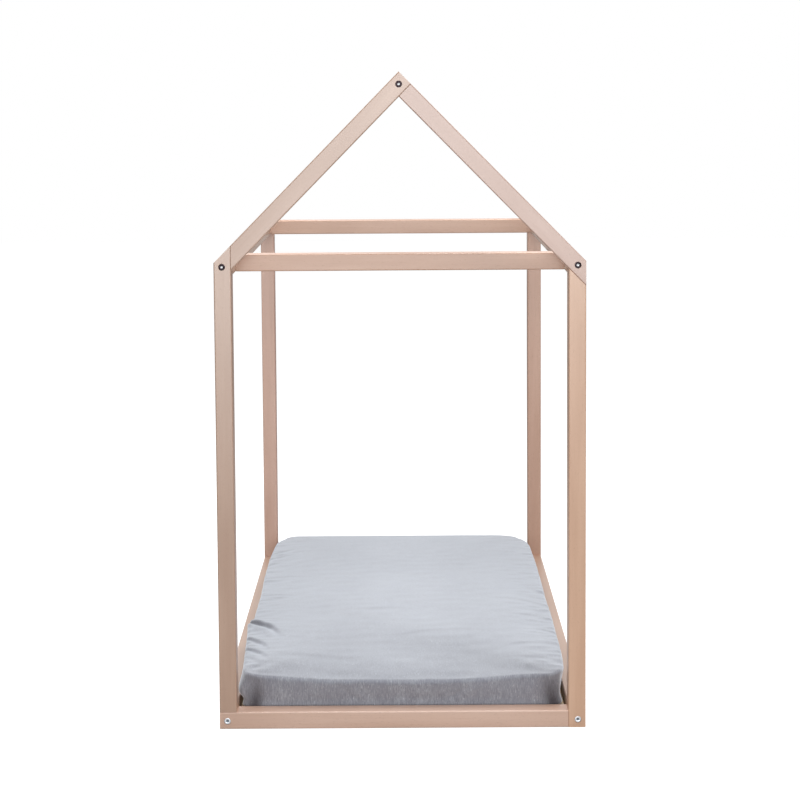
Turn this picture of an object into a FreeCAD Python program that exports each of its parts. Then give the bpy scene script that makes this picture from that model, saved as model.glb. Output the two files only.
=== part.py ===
"""House frame bed for a toddler: two gabled end frames of halved battens, joined by side rails,
eave beams and a ridge beam, with two crossbars, a low slatted base and a sheeted mattress.

Lengths are in millimetres. X runs across the bed, +Y towards its back, +Z up. The origin is on
the floor, below the middle of the bed.
"""
import FreeCAD, Part
import math
import os
import re

import Sketcher
from FreeCAD import Placement, Rotation, Vector

DIMENSIONS = [
    # the mattress and its sheet, which the frame is built round
    ("MattressWidth", 702, "foam, at its widest"),
    ("MattressLength", 1398, "foam, at its longest"),
    ("MattressThickness", 83, "foam, at its edge"),
    ("MattressCrown", 6, "how far the middle stands above the edge"),
    ("MattressCorner", 62, "radius of the corners, seen from above"),
    ("MattressTopRound", 16, "radius of the upper edge"),
    ("MattressFootRound", 14, "radius of the lower edge"),
    ("MattressDraw", 3, "how far each side is drawn in at its middle"),
    ("MattressSideGap", 3.5, "sheet to a side rail"),
    ("MattressEndGap", 2.5, "sheet to an end frame"),
    ("SheetThickness", 1.5, "stretched jersey"),
    ("SheetTuck", 90, "how far the sheet is tucked under the mattress"),
    ("SoftGap", 0.3, "between the sheet and the slats"),
    # the timber frame
    ("BattenFace", 37, "width of posts and rafters, height of end rails and crossbars"),
    ("BattenDepth", 47, "depth of the end frames, height of side rails and eave beams"),
    ("EdgeRound", 2.5, "rounding along every batten"),
    ("EaveHeight", 1005, "floor to the outer corner of the eaves"),
    ("GableRise", 400, "eaves to the tip of the ridge"),
    ("EaveBeamDrop", 29, "eave corner to the underside of eave beams and crossbars"),
    ("CrossbarInset", 85, "clear gap from an end frame to its crossbar"),
    # knock-down fittings
    ("BoltDiameter", 6, "shank"),
    ("BoltHeadDiameter", 14, "flat round head"),
    ("BoltHeadThickness", 2.2, "head"),
    ("BoltHeadChamfer", 0.6, "bevel round the head"),
    ("BoltKeySize", 5, "across the flats of the key socket"),
    ("BoltKeyDepth", 1.8, "key socket"),
    ("HeadSeatDepth", 3, "face of the timber down to the seat of a head"),
    ("HeadSeatGap", 0.25, "round the head in its seat"),
    ("BoltGap", 0.2, "round a shank in its bore"),
    ("FrameBoltLength", 85, "under the head, through a lap and into a beam"),
    ("CrossbarBoltLength", 75, "under the head, through an eave beam and into a crossbar"),
    ("BoreSlack", 4, "bore beyond the end of a bolt"),
    ("EaveBoltInset", 17.5, "outer face of a post to the eave bolt"),
    ("EaveBoltDrop", 8.5, "eave corner down to the eave bolt"),
    ("CornerBoltInset", 16.5, "outer face of a post to the bolt at its foot"),
    ("CornerBoltRise", 17, "floor to the bolt at a post's foot"),
    ("BarrelDiameter", 10, "barrel nut"),
    ("BarrelLength", 16, "barrel nut"),
    ("BarrelInset", 32, "end of a beam to its barrel nut"),
    ("DowelDiameter", 6, "dowel beside each bolt"),
    ("DowelLength", 30, "half in each piece"),
    ("DowelOffset", 13, "bolt to its dowel"),
    ("DowelGap", 0.1, "round a dowel in its bore"),
    # the slatted base
    ("LedgerWidth", 22, "batten inside a side rail"),
    ("LedgerHeight", 15, "batten inside a side rail"),
    ("LedgerRise", 3, "floor to the underside of a ledger"),
    ("LedgerEndGap", 8, "end of a ledger to the end rail"),
    ("LedgerScrewCount", 5, "screws in each ledger"),
    ("LedgerScrewInset", 60, "end of a ledger to its first screw"),
    ("SlatCount", 13, "slats"),
    ("SlatWidth", 70, "along the bed"),
    ("SlatThickness", 10, "slat"),
    ("SlatRound", 1.5, "rounding along slats and ledgers"),
    ("SlatSideGap", 4, "end of a slat to the side rail"),
    ("SlatEndGap", 14, "first slat to the end rail"),
    ("StrapWidth", 25, "webbing under the slats"),
    ("StrapThickness", 1.2, "webbing"),
    ("StrapSpacing", 420, "between the middles of the two straps"),
    ("ScrewDiameter", 4, "screws of ledgers and end slats"),
    ("ScrewHeadDiameter", 8, "flat head"),
    ("ScrewHeadThickness", 2, "flat head, sunk flush"),
    ("ScrewSlack", 1, "bore beyond the end of a screw"),
    ("LedgerScrewLength", 40, "under the head, through a ledger and into a side rail"),
    ("SlatScrewLength", 20, "under the head, through an end slat and into a ledger"),
]
ALIAS = re.compile(r"\b(" + "|".join(alias for alias, value, note in DIMENSIONS) + r")\b")

# Terms that several pieces share.
SHEET_WIDTH = "(MattressWidth + 2 * SheetThickness)"
SHEET_LENGTH = "(MattressLength + 2 * SheetThickness)"
INNER_WIDTH = f"({SHEET_WIDTH} + 2 * MattressSideGap)"
INNER_LENGTH = f"({SHEET_LENGTH} + 2 * MattressEndGap)"
FRAME_WIDTH = f"({INNER_WIDTH} + 2 * BattenFace)"
HALF_WIDTH = f"({FRAME_WIDTH} / 2)"
HALF_LENGTH = f"({INNER_LENGTH} / 2 + BattenDepth)"
HALF_LAP = "(BattenDepth / 2)"
SLOPE = f"(2 * GableRise / {FRAME_WIDTH})"
RAFTER_DROP = f"(BattenFace * sqrt(1 + {SLOPE} ^ 2))"
RIDGE_HEIGHT = "(EaveHeight + GableRise)"
RIDGE_BOLT_HEIGHT = f"({RIDGE_HEIGHT} - {RAFTER_DROP} / 2)"
RIDGE_SIDE = f"({RAFTER_DROP} / (2 * {SLOPE}))"
BEAM_BASE = "(EaveHeight - EaveBeamDrop)"
EAVE_BOLT_HEIGHT = "(EaveHeight - EaveBoltDrop)"
CROSSBAR_MIDDLE = f"({BEAM_BASE} + BattenFace / 2)"
BOLT_BORE = "(BoltDiameter + 2 * BoltGap)"
NUT_BORE = "(BarrelDiameter + 2 * BoltGap)"
DOWEL_BORE = "(DowelDiameter + 2 * DowelGap)"
SCREW_BORE = "(ScrewDiameter + 2 * BoltGap)"
SCREW_SEAT = "(ScrewHeadDiameter + 2 * BoltGap)"
HEAD_SEAT = "(BoltHeadDiameter + 2 * HeadSeatGap)"
BEAM_BOLT_REACH = "(FrameBoltLength - (BattenDepth - HeadSeatDepth) + BoreSlack)"
CROSSBAR_BOLT_REACH = "(CrossbarBoltLength - (BattenFace - HeadSeatDepth) + BoreSlack)"
LEDGER_LENGTH = f"({INNER_LENGTH} - 2 * LedgerEndGap)"
LEDGER_SCREW_REACH = "(LedgerScrewLength - (LedgerWidth - ScrewHeadThickness) + ScrewSlack)"
SLAT_SCREW_REACH = "(SlatScrewLength - (SlatThickness - ScrewHeadThickness) + ScrewSlack)"
SLAT_LENGTH = f"({INNER_WIDTH} - 2 * SlatSideGap)"
SLAT_PITCH = f"(({INNER_LENGTH} - 2 * SlatEndGap - SlatWidth) / (SlatCount - 1))"
SLAT_BASE = "(LedgerRise + LedgerHeight)"

# Where an end frame's pieces stand: X and Y of the piece's own origin, and whether it is turned
# half a turn about the vertical. The four corners are one corner, turned.
FRONT_LEFT = (f"-{HALF_WIDTH}", f"-{HALF_LENGTH}", False)
FRONT_RIGHT = (HALF_WIDTH, f"-{HALF_LENGTH} + BattenDepth", True)
REAR_RIGHT = (HALF_WIDTH, HALF_LENGTH, True)
REAR_LEFT = (f"-{HALF_WIDTH}", f"{HALF_LENGTH} - BattenDepth", False)

doc = FreeCAD.newDocument("HouseFrameBed")
sheet = doc.addObject("Spreadsheet::Sheet", "Dimensions")
for row, (alias, value, note) in enumerate(DIMENSIONS, start=1):
    sheet.set(f"A{row}", alias)
    sheet.set(f"B{row}", str(value))
    sheet.set(f"C{row}", note)
    sheet.setAlias(f"B{row}", alias)
doc.recompute()


def worth(formula):
    """The number that a formula in the sheet's aliases comes to."""
    return float(sheet.evalExpression(ALIAS.sub(r"Dimensions.\1", formula)))


def bind(thing, prop, formula):
    """Tie a property to a formula in the sheet's aliases."""
    thing.setExpression(prop, ALIAS.sub(r"Dimensions.\1", formula))


def place(thing, x_at, y_at, z_at, rotation=None):
    """Put an object where three formulas say, turned by a fixed rotation."""
    thing.Placement = Placement(Vector(), rotation or Rotation())
    bind(thing, "Placement.Base.x", x_at)
    bind(thing, "Placement.Base.y", y_at)
    bind(thing, "Placement.Base.z", z_at)


# ---------------------------------------------------------------- sketches, pads and cuts

# For each plane of a body: the role of its origin plane, and whether the plane's normal points
# along the body's axis (1) or against it (-1).
PLANES = {"XZ": ("XZ_Plane", -1), "YZ": ("YZ_Plane", 1), "XY": ("XY_Plane", 1)}


def new_sketch(body, name, plane, start):
    """An empty sketch, square to an axis of the body, a formula's length along that axis."""
    role, sense = PLANES[plane]
    sketch = body.newObject("Sketcher::SketchObject", name)
    support = next(item for item in body.Origin.OriginFeatures if item.Role == role)
    sketch.AttachmentSupport = (support, [""])
    sketch.MapMode = "FlatFace"
    if start != "0":
        bind(sketch, "AttachmentOffset.Base.z", start if sense > 0 else f"-({start})")
    return sketch


def hold(sketch, formula, kind, *geometry):
    """Constrain geometry of the sketch to a formula's size."""
    index = sketch.addConstraint(Sketcher.Constraint(kind, *geometry, worth(formula)))
    bind(sketch, f"Constraints[{index}]", formula)


def fix_point(sketch, geometry, point, across, up):
    """Hold a point of the sketch at two formulas, measured from the sketch's origin."""
    for kind, axis, formula in (("DistanceX", -2, across), ("DistanceY", -1, up)):
        if formula == "0":
            sketch.addConstraint(Sketcher.Constraint("PointOnObject", geometry, point, axis))
        else:
            hold(sketch, formula, kind, -1, 1, geometry, point)


def polygon(sketch, corners):
    """A closed outline through corners, each a pair of formulas."""
    points = [Vector(worth(across), worth(up), 0) for across, up in corners]
    for start, end in zip(points, points[1:] + points[:1]):
        sketch.addGeometry(Part.LineSegment(start, end))
    for index in range(len(corners)):
        following = (index + 1) % len(corners)
        sketch.addConstraint(Sketcher.Constraint("Coincident", index, 2, following, 1))
    for index, (across, up) in enumerate(corners):
        fix_point(sketch, index, 1, across, up)


def circles(sketch, centres, diameter):
    """Circles of one formula's diameter, each about a pair of formulas."""
    for index, (across, up) in enumerate(centres):
        centre = Vector(worth(across), worth(up), 0)
        sketch.addGeometry(Part.Circle(centre, Vector(0, 0, 1), worth(diameter) / 2))
        hold(sketch, diameter, "Diameter", index)
        fix_point(sketch, index, 3, across, up)


def long_edges(shape):
    """Names of the edges that run along a batten."""
    half_longest = max(edge.Length for edge in shape.Edges) / 2
    return [f"Edge{number}" for number, edge in enumerate(shape.Edges, start=1)
            if edge.Length > half_longest]


def new_batten(name, plane, corners, length, edge_radius="EdgeRound"):
    """A batten: an outline padded along the plane's axis, with its long edges rounded."""
    body = doc.addObject("PartDesign::Body", name)
    body.Label = name
    sketch = new_sketch(body, f"{name}_outline", plane, "0")
    polygon(sketch, corners)
    pad = body.newObject("PartDesign::Pad", f"{name}_pad")
    pad.Profile = sketch
    pad.Reversed = PLANES[plane][1] < 0
    bind(pad, "Length", length)
    doc.recompute()
    rounding = body.newObject("PartDesign::Fillet", f"{name}_rounding")
    rounding.Base = (pad, long_edges(pad.Shape))
    bind(rounding, "Radius", edge_radius)
    doc.recompute()
    return body


def pocket_out(body, name, sketch, plane, depth):
    """Cut a sketch's outline out of a body, along the plane's axis for depth."""
    before = body.Shape.Volume
    pocket = body.newObject("PartDesign::Pocket", f"{body.Label}_{name}")
    pocket.Profile = sketch
    pocket.Reversed = PLANES[plane][1] > 0
    bind(pocket, "Length", depth)
    doc.recompute()
    if not body.Shape.Volume < before:
        raise RuntimeError(f"{pocket.Name} cuts nothing")


def cut(body, name, plane, start, depth, corners=None, centres=None, diameter=None):
    """Cut a polygon or round bores, from start along the plane's axis for depth."""
    sketch = new_sketch(body, f"{body.Label}_{name}_outline", plane, start)
    if corners:
        polygon(sketch, corners)
    else:
        circles(sketch, centres, diameter)
    pocket_out(body, name, sketch, plane, depth)


def bolt_hole(body, name, centre, seat_start=None):
    """A bore through an end frame for a bolt, with a seat for its head where one is named."""
    cut(body, f"{name}_bore", "XZ", "0", "BattenDepth", centres=[centre], diameter=BOLT_BORE)
    if seat_start:
        cut(body, f"{name}_seat", "XZ", seat_start, "HeadSeatDepth", centres=[centre],
            diameter=HEAD_SEAT)


def dowel_hole(body, name, centre):
    """A blind bore for a dowel in the back of an end frame's rear layer."""
    cut(body, f"{name}_dowel", "XZ", "BattenDepth - DowelLength / 2", "DowelLength / 2",
        centres=[centre], diameter=DOWEL_BORE)


# ---------------------------------------------------------------- end frames

EAVE_BOLT = ("EaveBoltInset", EAVE_BOLT_HEIGHT)
EAVE_DOWEL = ("EaveBoltInset", f"{EAVE_BOLT_HEIGHT} + DowelOffset")
RIDGE_BOLT = (HALF_WIDTH, RIDGE_BOLT_HEIGHT)
RIDGE_DOWEL = (HALF_WIDTH, f"{RIDGE_BOLT_HEIGHT} - DowelOffset")
CORNER_BOLT = ("CornerBoltInset", "CornerBoltRise")
CORNER_DOWEL = ("CornerBoltInset", "CornerBoltRise + DowelOffset")


def from_far_side(point):
    """A point as far from the end frame's other post."""
    return (f"{FRAME_WIDTH} - {point[0]}", point[1])


def eave_lap():
    """The part of a post's width that lies between the roof and the rafter's lower edge."""
    inner_rise = f"{SLOPE} * BattenFace"
    return [("0", f"EaveHeight - {RAFTER_DROP}"),
            ("BattenFace", f"EaveHeight - {RAFTER_DROP} + {inner_rise}"),
            ("BattenFace", f"EaveHeight + {inner_rise}"),
            ("0", "EaveHeight")]


def make_post(name, corner, front_layer_at_eave):
    """A corner post. Its top follows the roof; it is halved at the eave and at the foot."""
    outline = [("0", "0"),
               ("BattenFace", "0"),
               ("BattenFace", f"EaveHeight + {SLOPE} * BattenFace"),
               ("0", "EaveHeight")]
    body = new_batten(name, "XZ", outline, "BattenDepth")
    cut(body, "eave_lap", "XZ", HALF_LAP, HALF_LAP, corners=eave_lap())
    foot = [("0", "0"), ("BattenFace", "0"), ("BattenFace", "BattenFace"), ("0", "BattenFace")]
    cut(body, "foot_lap", "XZ", "0", HALF_LAP, corners=foot)
    if front_layer_at_eave:
        bolt_hole(body, "eave", EAVE_BOLT, seat_start="0")
        bolt_hole(body, "foot", CORNER_BOLT)
        dowel_hole(body, "foot", CORNER_DOWEL)
    else:
        bolt_hole(body, "eave", EAVE_BOLT)
        cut(body, "eave_dowel", "XZ", "0", "DowelLength / 2", centres=[EAVE_DOWEL],
            diameter=DOWEL_BORE)
        bolt_hole(body, "foot", CORNER_BOLT, seat_start="BattenDepth - HeadSeatDepth")
    place(body, corner[0], corner[1], "0", Rotation(180 if corner[2] else 0, 0, 0))
    return body


def make_rafter(name, corner, front_layer_at_ridge):
    """A gable rafter: plumb-cut at the eave, cut along the far roof slope at the ridge."""
    outline = [("0", f"EaveHeight - {RAFTER_DROP}"),
               (f"{HALF_WIDTH} + {RIDGE_SIDE}", f"{RIDGE_HEIGHT} - {RAFTER_DROP} / 2"),
               (HALF_WIDTH, RIDGE_HEIGHT),
               ("0", "EaveHeight")]
    body = new_batten(name, "XZ", outline, "BattenDepth")
    cut(body, "eave_lap", "XZ", "0", HALF_LAP, corners=eave_lap())
    ridge_lap = [(HALF_WIDTH, f"{RIDGE_HEIGHT} - {RAFTER_DROP}"),
                 (f"{HALF_WIDTH} + {RIDGE_SIDE}", f"{RIDGE_HEIGHT} - {RAFTER_DROP} / 2"),
                 (HALF_WIDTH, RIDGE_HEIGHT),
                 (f"{HALF_WIDTH} - {RIDGE_SIDE}", f"{RIDGE_HEIGHT} - {RAFTER_DROP} / 2")]
    cut(body, "ridge_lap", "XZ", HALF_LAP, HALF_LAP, corners=ridge_lap)
    if front_layer_at_ridge:
        bolt_hole(body, "ridge", RIDGE_BOLT, seat_start="0")
        bolt_hole(body, "eave", EAVE_BOLT)
        dowel_hole(body, "eave", EAVE_DOWEL)
    else:
        bolt_hole(body, "ridge", RIDGE_BOLT)
        cut(body, "ridge_dowel", "XZ", "0", "DowelLength / 2", centres=[RIDGE_DOWEL],
            diameter=DOWEL_BORE)
        bolt_hole(body, "eave", EAVE_BOLT, seat_start="BattenDepth - HeadSeatDepth")
    place(body, corner[0], corner[1], "0", Rotation(180 if corner[2] else 0, 0, 0))
    return body


def make_end_rail(name, corner):
    """The low rail of an end frame: in front of one post's foot and behind the other's."""
    outline = [("0", "0"), (FRAME_WIDTH, "0"), (FRAME_WIDTH, "BattenFace"),
               ("0", "BattenFace")]
    body = new_batten(name, "XZ", outline, "BattenDepth")
    near = [("0", "0"), ("BattenFace", "0"), ("BattenFace", "BattenFace"), ("0", "BattenFace")]
    inner = f"{FRAME_WIDTH} - BattenFace"
    far = [(inner, "0"), (FRAME_WIDTH, "0"), (FRAME_WIDTH, "BattenFace"), (inner, "BattenFace")]
    cut(body, "near_lap", "XZ", HALF_LAP, HALF_LAP, corners=near)
    cut(body, "far_lap", "XZ", "0", HALF_LAP, corners=far)
    bolt_hole(body, "near", CORNER_BOLT, seat_start="0")
    bolt_hole(body, "far", from_far_side(CORNER_BOLT))
    dowel_hole(body, "far", from_far_side(CORNER_DOWEL))
    place(body, corner[0], corner[1], "0", Rotation(180 if corner[2] else 0, 0, 0))
    return body


# ---------------------------------------------------------------- members between the frames

def bore_beam_ends(body, bolt, dowel, nut_start, nut_length, nut_plane="YZ"):
    """Bolt, dowel and barrel-nut bores at both ends of a beam that runs along Y."""
    far_reach = f"{INNER_LENGTH} - {BEAM_BOLT_REACH}"
    for end, start in (("near", "0"), ("far", far_reach)):
        cut(body, f"{end}_bolt", "XZ", start, BEAM_BOLT_REACH, centres=[bolt], diameter=BOLT_BORE)
    for end, start in (("near", "0"), ("far", f"{INNER_LENGTH} - DowelLength / 2")):
        cut(body, f"{end}_dowel", "XZ", start, "DowelLength / 2", centres=[dowel],
            diameter=DOWEL_BORE)
    for end, along in (("near", "BarrelInset"), ("far", f"{INNER_LENGTH} - BarrelInset")):
        centre = (along, bolt[1]) if nut_plane == "YZ" else (bolt[0], along)
        cut(body, f"{end}_nut", nut_plane, nut_start, nut_length, centres=[centre],
            diameter=NUT_BORE)


def place_beam(body, turned):
    """Stand a beam between the end frames, on the left or, turned, on the right."""
    if turned:
        place(body, HALF_WIDTH, f"{HALF_LENGTH} - BattenDepth", "0", Rotation(180, 0, 0))
    else:
        place(body, f"-{HALF_WIDTH}", f"-{HALF_LENGTH} + BattenDepth", "0")


def spread(first, last, count, number):
    """A formula for the place of one of count things, evenly spread from first to last."""
    return f"{first} + {number} * ({last} - ({first})) / ({count} - 1)"


def ledger_screw_along(number):
    """How far along its ledger a ledger screw sits."""
    last = f"{LEDGER_LENGTH} - LedgerScrewInset"
    return spread("LedgerScrewInset", last, "LedgerScrewCount", number)


def make_side_rail(name, turned):
    """A low rail along one side, its narrow face up, flush with the posts."""
    outline = [("0", "0"), ("BattenFace", "0"), ("BattenFace", "BattenDepth"),
               ("0", "BattenDepth")]
    body = new_batten(name, "XZ", outline, INNER_LENGTH)
    nut_start = "CornerBoltInset - BarrelLength / 2"
    bore_beam_ends(body, CORNER_BOLT, CORNER_DOWEL, nut_start, f"BattenFace - ({nut_start})")
    screws = [(f"LedgerEndGap + {ledger_screw_along(number)}", "LedgerRise + LedgerHeight / 2")
              for number in range(int(worth("LedgerScrewCount")))]
    cut(body, "ledger_screws", "YZ", f"BattenFace - {LEDGER_SCREW_REACH}", LEDGER_SCREW_REACH,
        centres=screws, diameter=SCREW_BORE)
    place_beam(body, turned)
    return body


def make_eave_beam(name, turned):
    """A beam along one eave, its outer top corner planed off to the roof slope."""
    top = f"{BEAM_BASE} + BattenDepth"
    outline = [("0", BEAM_BASE),
               ("BattenFace", BEAM_BASE),
               ("BattenFace", top),
               (f"(BattenDepth - EaveBeamDrop) / {SLOPE}", top),
               ("0", "EaveHeight")]
    body = new_batten(name, "XZ", outline, INNER_LENGTH)
    nut_start = "EaveBoltInset - BarrelLength / 2"
    bore_beam_ends(body, EAVE_BOLT, EAVE_DOWEL, nut_start, f"BattenFace - ({nut_start})")
    bolt_along = "CrossbarInset + BattenDepth / 2"
    bolt = (bolt_along, CROSSBAR_MIDDLE)
    dowel = (f"{bolt_along} + DowelOffset", CROSSBAR_MIDDLE)
    far_bolt, far_dowel = ((f"{INNER_LENGTH} - ({along})", up) for along, up in (bolt, dowel))
    for end, hole, pin in (("near", bolt, dowel), ("far", far_bolt, far_dowel)):
        cut(body, f"{end}_crossbar_bolt", "YZ", "0", "BattenFace", centres=[hole],
            diameter=BOLT_BORE)
        cut(body, f"{end}_crossbar_seat", "YZ", "0", "HeadSeatDepth", centres=[hole],
            diameter=HEAD_SEAT)
        cut(body, f"{end}_crossbar_dowel", "YZ", "BattenFace - DowelLength / 2",
            "DowelLength / 2", centres=[pin], diameter=DOWEL_BORE)
    place_beam(body, turned)
    return body


def make_ridge_beam(name):
    """The beam behind the ridge laps, on edge, its upper faces in the planes of the roof."""
    outline = [(HALF_WIDTH, f"{RIDGE_HEIGHT} - {RAFTER_DROP}"),
               (f"{HALF_WIDTH} + {RIDGE_SIDE}", f"{RIDGE_HEIGHT} - {RAFTER_DROP} / 2"),
               (HALF_WIDTH, RIDGE_HEIGHT),
               (f"{HALF_WIDTH} - {RIDGE_SIDE}", f"{RIDGE_HEIGHT} - {RAFTER_DROP} / 2")]
    body = new_batten(name, "XZ", outline, INNER_LENGTH)
    nut_start = f"{RIDGE_HEIGHT} - {RAFTER_DROP}"
    bore_beam_ends(body, RIDGE_BOLT, RIDGE_DOWEL, nut_start,
                   f"({RAFTER_DROP} + BarrelLength) / 2", nut_plane="XY")
    place_beam(body, False)
    return body


def make_crossbar(name, turned):
    """A bar between the eave beams, bolted through them into its ends."""
    outline = [("0", "0"), ("BattenDepth", "0"), ("BattenDepth", "BattenFace"),
               ("0", "BattenFace")]
    body = new_batten(name, "YZ", outline, INNER_WIDTH)
    middle = ("BattenDepth / 2", "BattenFace / 2")
    pin = ("BattenDepth / 2 + DowelOffset", "BattenFace / 2")
    far_reach = f"{INNER_WIDTH} - {CROSSBAR_BOLT_REACH}"
    for end, start in (("near", "0"), ("far", far_reach)):
        cut(body, f"{end}_bolt", "YZ", start, CROSSBAR_BOLT_REACH, centres=[middle],
            diameter=BOLT_BORE)
    for end, start in (("near", "0"), ("far", f"{INNER_WIDTH} - DowelLength / 2")):
        cut(body, f"{end}_dowel", "YZ", start, "DowelLength / 2", centres=[pin],
            diameter=DOWEL_BORE)
    for end, along in (("near", "BarrelInset"), ("far", f"{INNER_WIDTH} - BarrelInset")):
        cut(body, f"{end}_nut", "XY", "0", "(BattenFace + BarrelLength) / 2",
            centres=[(along, middle[0])], diameter=NUT_BORE)
    along = f"{HALF_LENGTH} - BattenDepth - CrossbarInset"
    if turned:
        place(body, f"{HALF_WIDTH} - BattenFace", along, BEAM_BASE, Rotation(180, 0, 0))
    else:
        place(body, f"-{HALF_WIDTH} + BattenFace", f"-({along})", BEAM_BASE)
    return body


# ---------------------------------------------------------------- the slatted base

def make_ledger(name, turned):
    """A batten inside a side rail, which carries the slats' ends."""
    outline = [("0", "0"), ("LedgerWidth", "0"), ("LedgerWidth", "LedgerHeight"),
               ("0", "LedgerHeight")]
    body = new_batten(name, "XZ", outline, LEDGER_LENGTH, edge_radius="SlatRound")
    screws = [(ledger_screw_along(number), "LedgerHeight / 2")
              for number in range(int(worth("LedgerScrewCount")))]
    cut(body, "screws", "YZ", "0", "LedgerWidth", centres=screws, diameter=SCREW_BORE)
    cut(body, "screw_seats", "YZ", "LedgerWidth - ScrewHeadThickness", "ScrewHeadThickness",
        centres=screws, diameter=SCREW_SEAT)
    first_slat = "SlatEndGap - LedgerEndGap + SlatWidth / 2"
    slat_screws = [("LedgerWidth / 2", first_slat),
                   ("LedgerWidth / 2", f"{LEDGER_LENGTH} - ({first_slat})")]
    cut(body, "slat_screws", "XY", f"LedgerHeight - {SLAT_SCREW_REACH}", SLAT_SCREW_REACH,
        centres=slat_screws, diameter=SCREW_BORE)
    across = f"{HALF_WIDTH} - BattenFace"
    along = f"{HALF_LENGTH} - BattenDepth - LedgerEndGap"
    if turned:
        place(body, across, along, "LedgerRise", Rotation(180, 0, 0))
    else:
        place(body, f"-({across})", f"-({along})", "LedgerRise")
    return body


def make_slat(name, number, screwed):
    """One slat across the ledgers; the first and the last are screwed down."""
    outline = [("0", "0"), ("SlatWidth", "0"), ("SlatWidth", "SlatThickness"),
               ("0", "SlatThickness")]
    body = new_batten(name, "YZ", outline, SLAT_LENGTH, edge_radius="SlatRound")
    if screwed:
        screw_across = "LedgerWidth / 2 - SlatSideGap"
        screws = [(screw_across, "SlatWidth / 2"),
                  (f"{SLAT_LENGTH} - ({screw_across})", "SlatWidth / 2")]
        cut(body, "screws", "XY", "0", "SlatThickness", centres=screws, diameter=SCREW_BORE)
        cut(body, "screw_seats", "XY", "SlatThickness - ScrewHeadThickness",
            "ScrewHeadThickness", centres=screws, diameter=SCREW_SEAT)
    along = f"-{HALF_LENGTH} + BattenDepth + SlatEndGap + {number} * {SLAT_PITCH}"
    place(body, f"-{SLAT_LENGTH} / 2", along, SLAT_BASE)
    return body


def make_strap(name, side):
    """Webbing glued under the slats, from the first to the last, on one side of the middle."""
    strap = doc.addObject("Part::Box", name)
    strap.Label = name
    bind(strap, "Length", "StrapWidth")
    bind(strap, "Width", f"{INNER_LENGTH} - 2 * SlatEndGap")
    bind(strap, "Height", "StrapThickness")
    place(strap, f"{side} * StrapSpacing / 2 - StrapWidth / 2",
          f"-{HALF_LENGTH} + BattenDepth + SlatEndGap", f"{SLAT_BASE} - StrapThickness")
    return strap


# ---------------------------------------------------------------- fittings

# Turns of a fitting that is drawn along +Z.
ALONG_X = Rotation(Vector(0, 1, 0), 90)
AGAINST_X = Rotation(Vector(0, 1, 0), -90)
ALONG_Y = Rotation(Vector(1, 0, 0), -90)
AGAINST_Y = Rotation(Vector(1, 0, 0), 90)
DOWNWARD = Rotation(Vector(1, 0, 0), 180)

# The ends of the bed: the sign of Y outwards, and the way a bolt goes in there.
ENDS = ((-1, ALONG_Y), (1, AGAINST_Y))
SIDES = ((-1, ALONG_X), (1, AGAINST_X))


def solid(kind, name, base="0", **formulas):
    """A primitive along +Z, its foot at a formula's height."""
    thing = doc.addObject(kind, name)
    for prop, formula in formulas.items():
        bind(thing, prop, formula)
    if base != "0":
        bind(thing, "Placement.Base.z", base)
    return thing


def make_bolt(name, length, position, rotation):
    """A bolt along +Z from the face of its flat head, which has a bevelled rim and a socket."""
    rim = solid("Part::Cone", f"{name}_rim", Radius1="BoltHeadDiameter / 2 - BoltHeadChamfer",
                Radius2="BoltHeadDiameter / 2", Height="BoltHeadChamfer")
    head = solid("Part::Cylinder", f"{name}_head", base="BoltHeadChamfer",
                 Radius="BoltHeadDiameter / 2", Height="BoltHeadThickness - BoltHeadChamfer")
    shank = solid("Part::Cylinder", f"{name}_shank", base="BoltHeadThickness",
                  Radius="BoltDiameter / 2", Height=length)
    whole = doc.addObject("Part::MultiFuse", f"{name}_whole")
    whole.Shapes = [rim, head, shank]
    key = solid("Part::Prism", f"{name}_key", Circumradius="BoltKeySize / sqrt(3)",
                Height="BoltKeyDepth")
    key.Polygon = 6
    bolt = doc.addObject("Part::Cut", name)
    bolt.Base = whole
    bolt.Tool = key
    place(bolt, *position, rotation)
    return bolt


def make_nut(name, position, rotation, bolt_rotation):
    """A barrel nut about its own middle, bored across for its bolt."""
    barrel = solid("Part::Cylinder", f"{name}_barrel", base="-BarrelLength / 2",
                   Radius="BarrelDiameter / 2", Height="BarrelLength")
    bore = solid("Part::Cylinder", f"{name}_bore", Radius="BoltDiameter / 2 + BoltGap / 2",
                 Height="2 * BarrelDiameter")
    turn = rotation.inverted().multiply(bolt_rotation)
    back = turn.multVec(Vector(0, 0, -1))
    bore.Placement = Placement(Vector(), turn)
    for axis, share in (("x", back.x), ("y", back.y), ("z", back.z)):
        bind(bore, f"Placement.Base.{axis}", f"{round(share)} * BarrelDiameter")
    nut = doc.addObject("Part::Cut", name)
    nut.Base = barrel
    nut.Tool = bore
    place(nut, *position, rotation)
    return nut


def make_dowel(name, position, rotation):
    """A dowel along +Z from one of its ends."""
    dowel = solid("Part::Cylinder", name, Radius="DowelDiameter / 2", Height="DowelLength")
    place(dowel, *position, rotation)
    return dowel


def make_screw(name, length, position, rotation):
    """A screw along +Z from the face of its flat head."""
    head = solid("Part::Cylinder", f"{name}_head", Radius="ScrewHeadDiameter / 2",
                 Height="ScrewHeadThickness")
    shank = solid("Part::Cylinder", f"{name}_shank", base="ScrewHeadThickness",
                  Radius="ScrewDiameter / 2", Height=length)
    screw = doc.addObject("Part::MultiFuse", name)
    screw.Shapes = [head, shank]
    place(screw, *position, rotation)
    return screw


def group(name, members):
    """Identical fittings as one sub-part of separate solids."""
    compound = doc.addObject("Part::Compound", name)
    compound.Label = name
    compound.Links = members
    return compound


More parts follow.
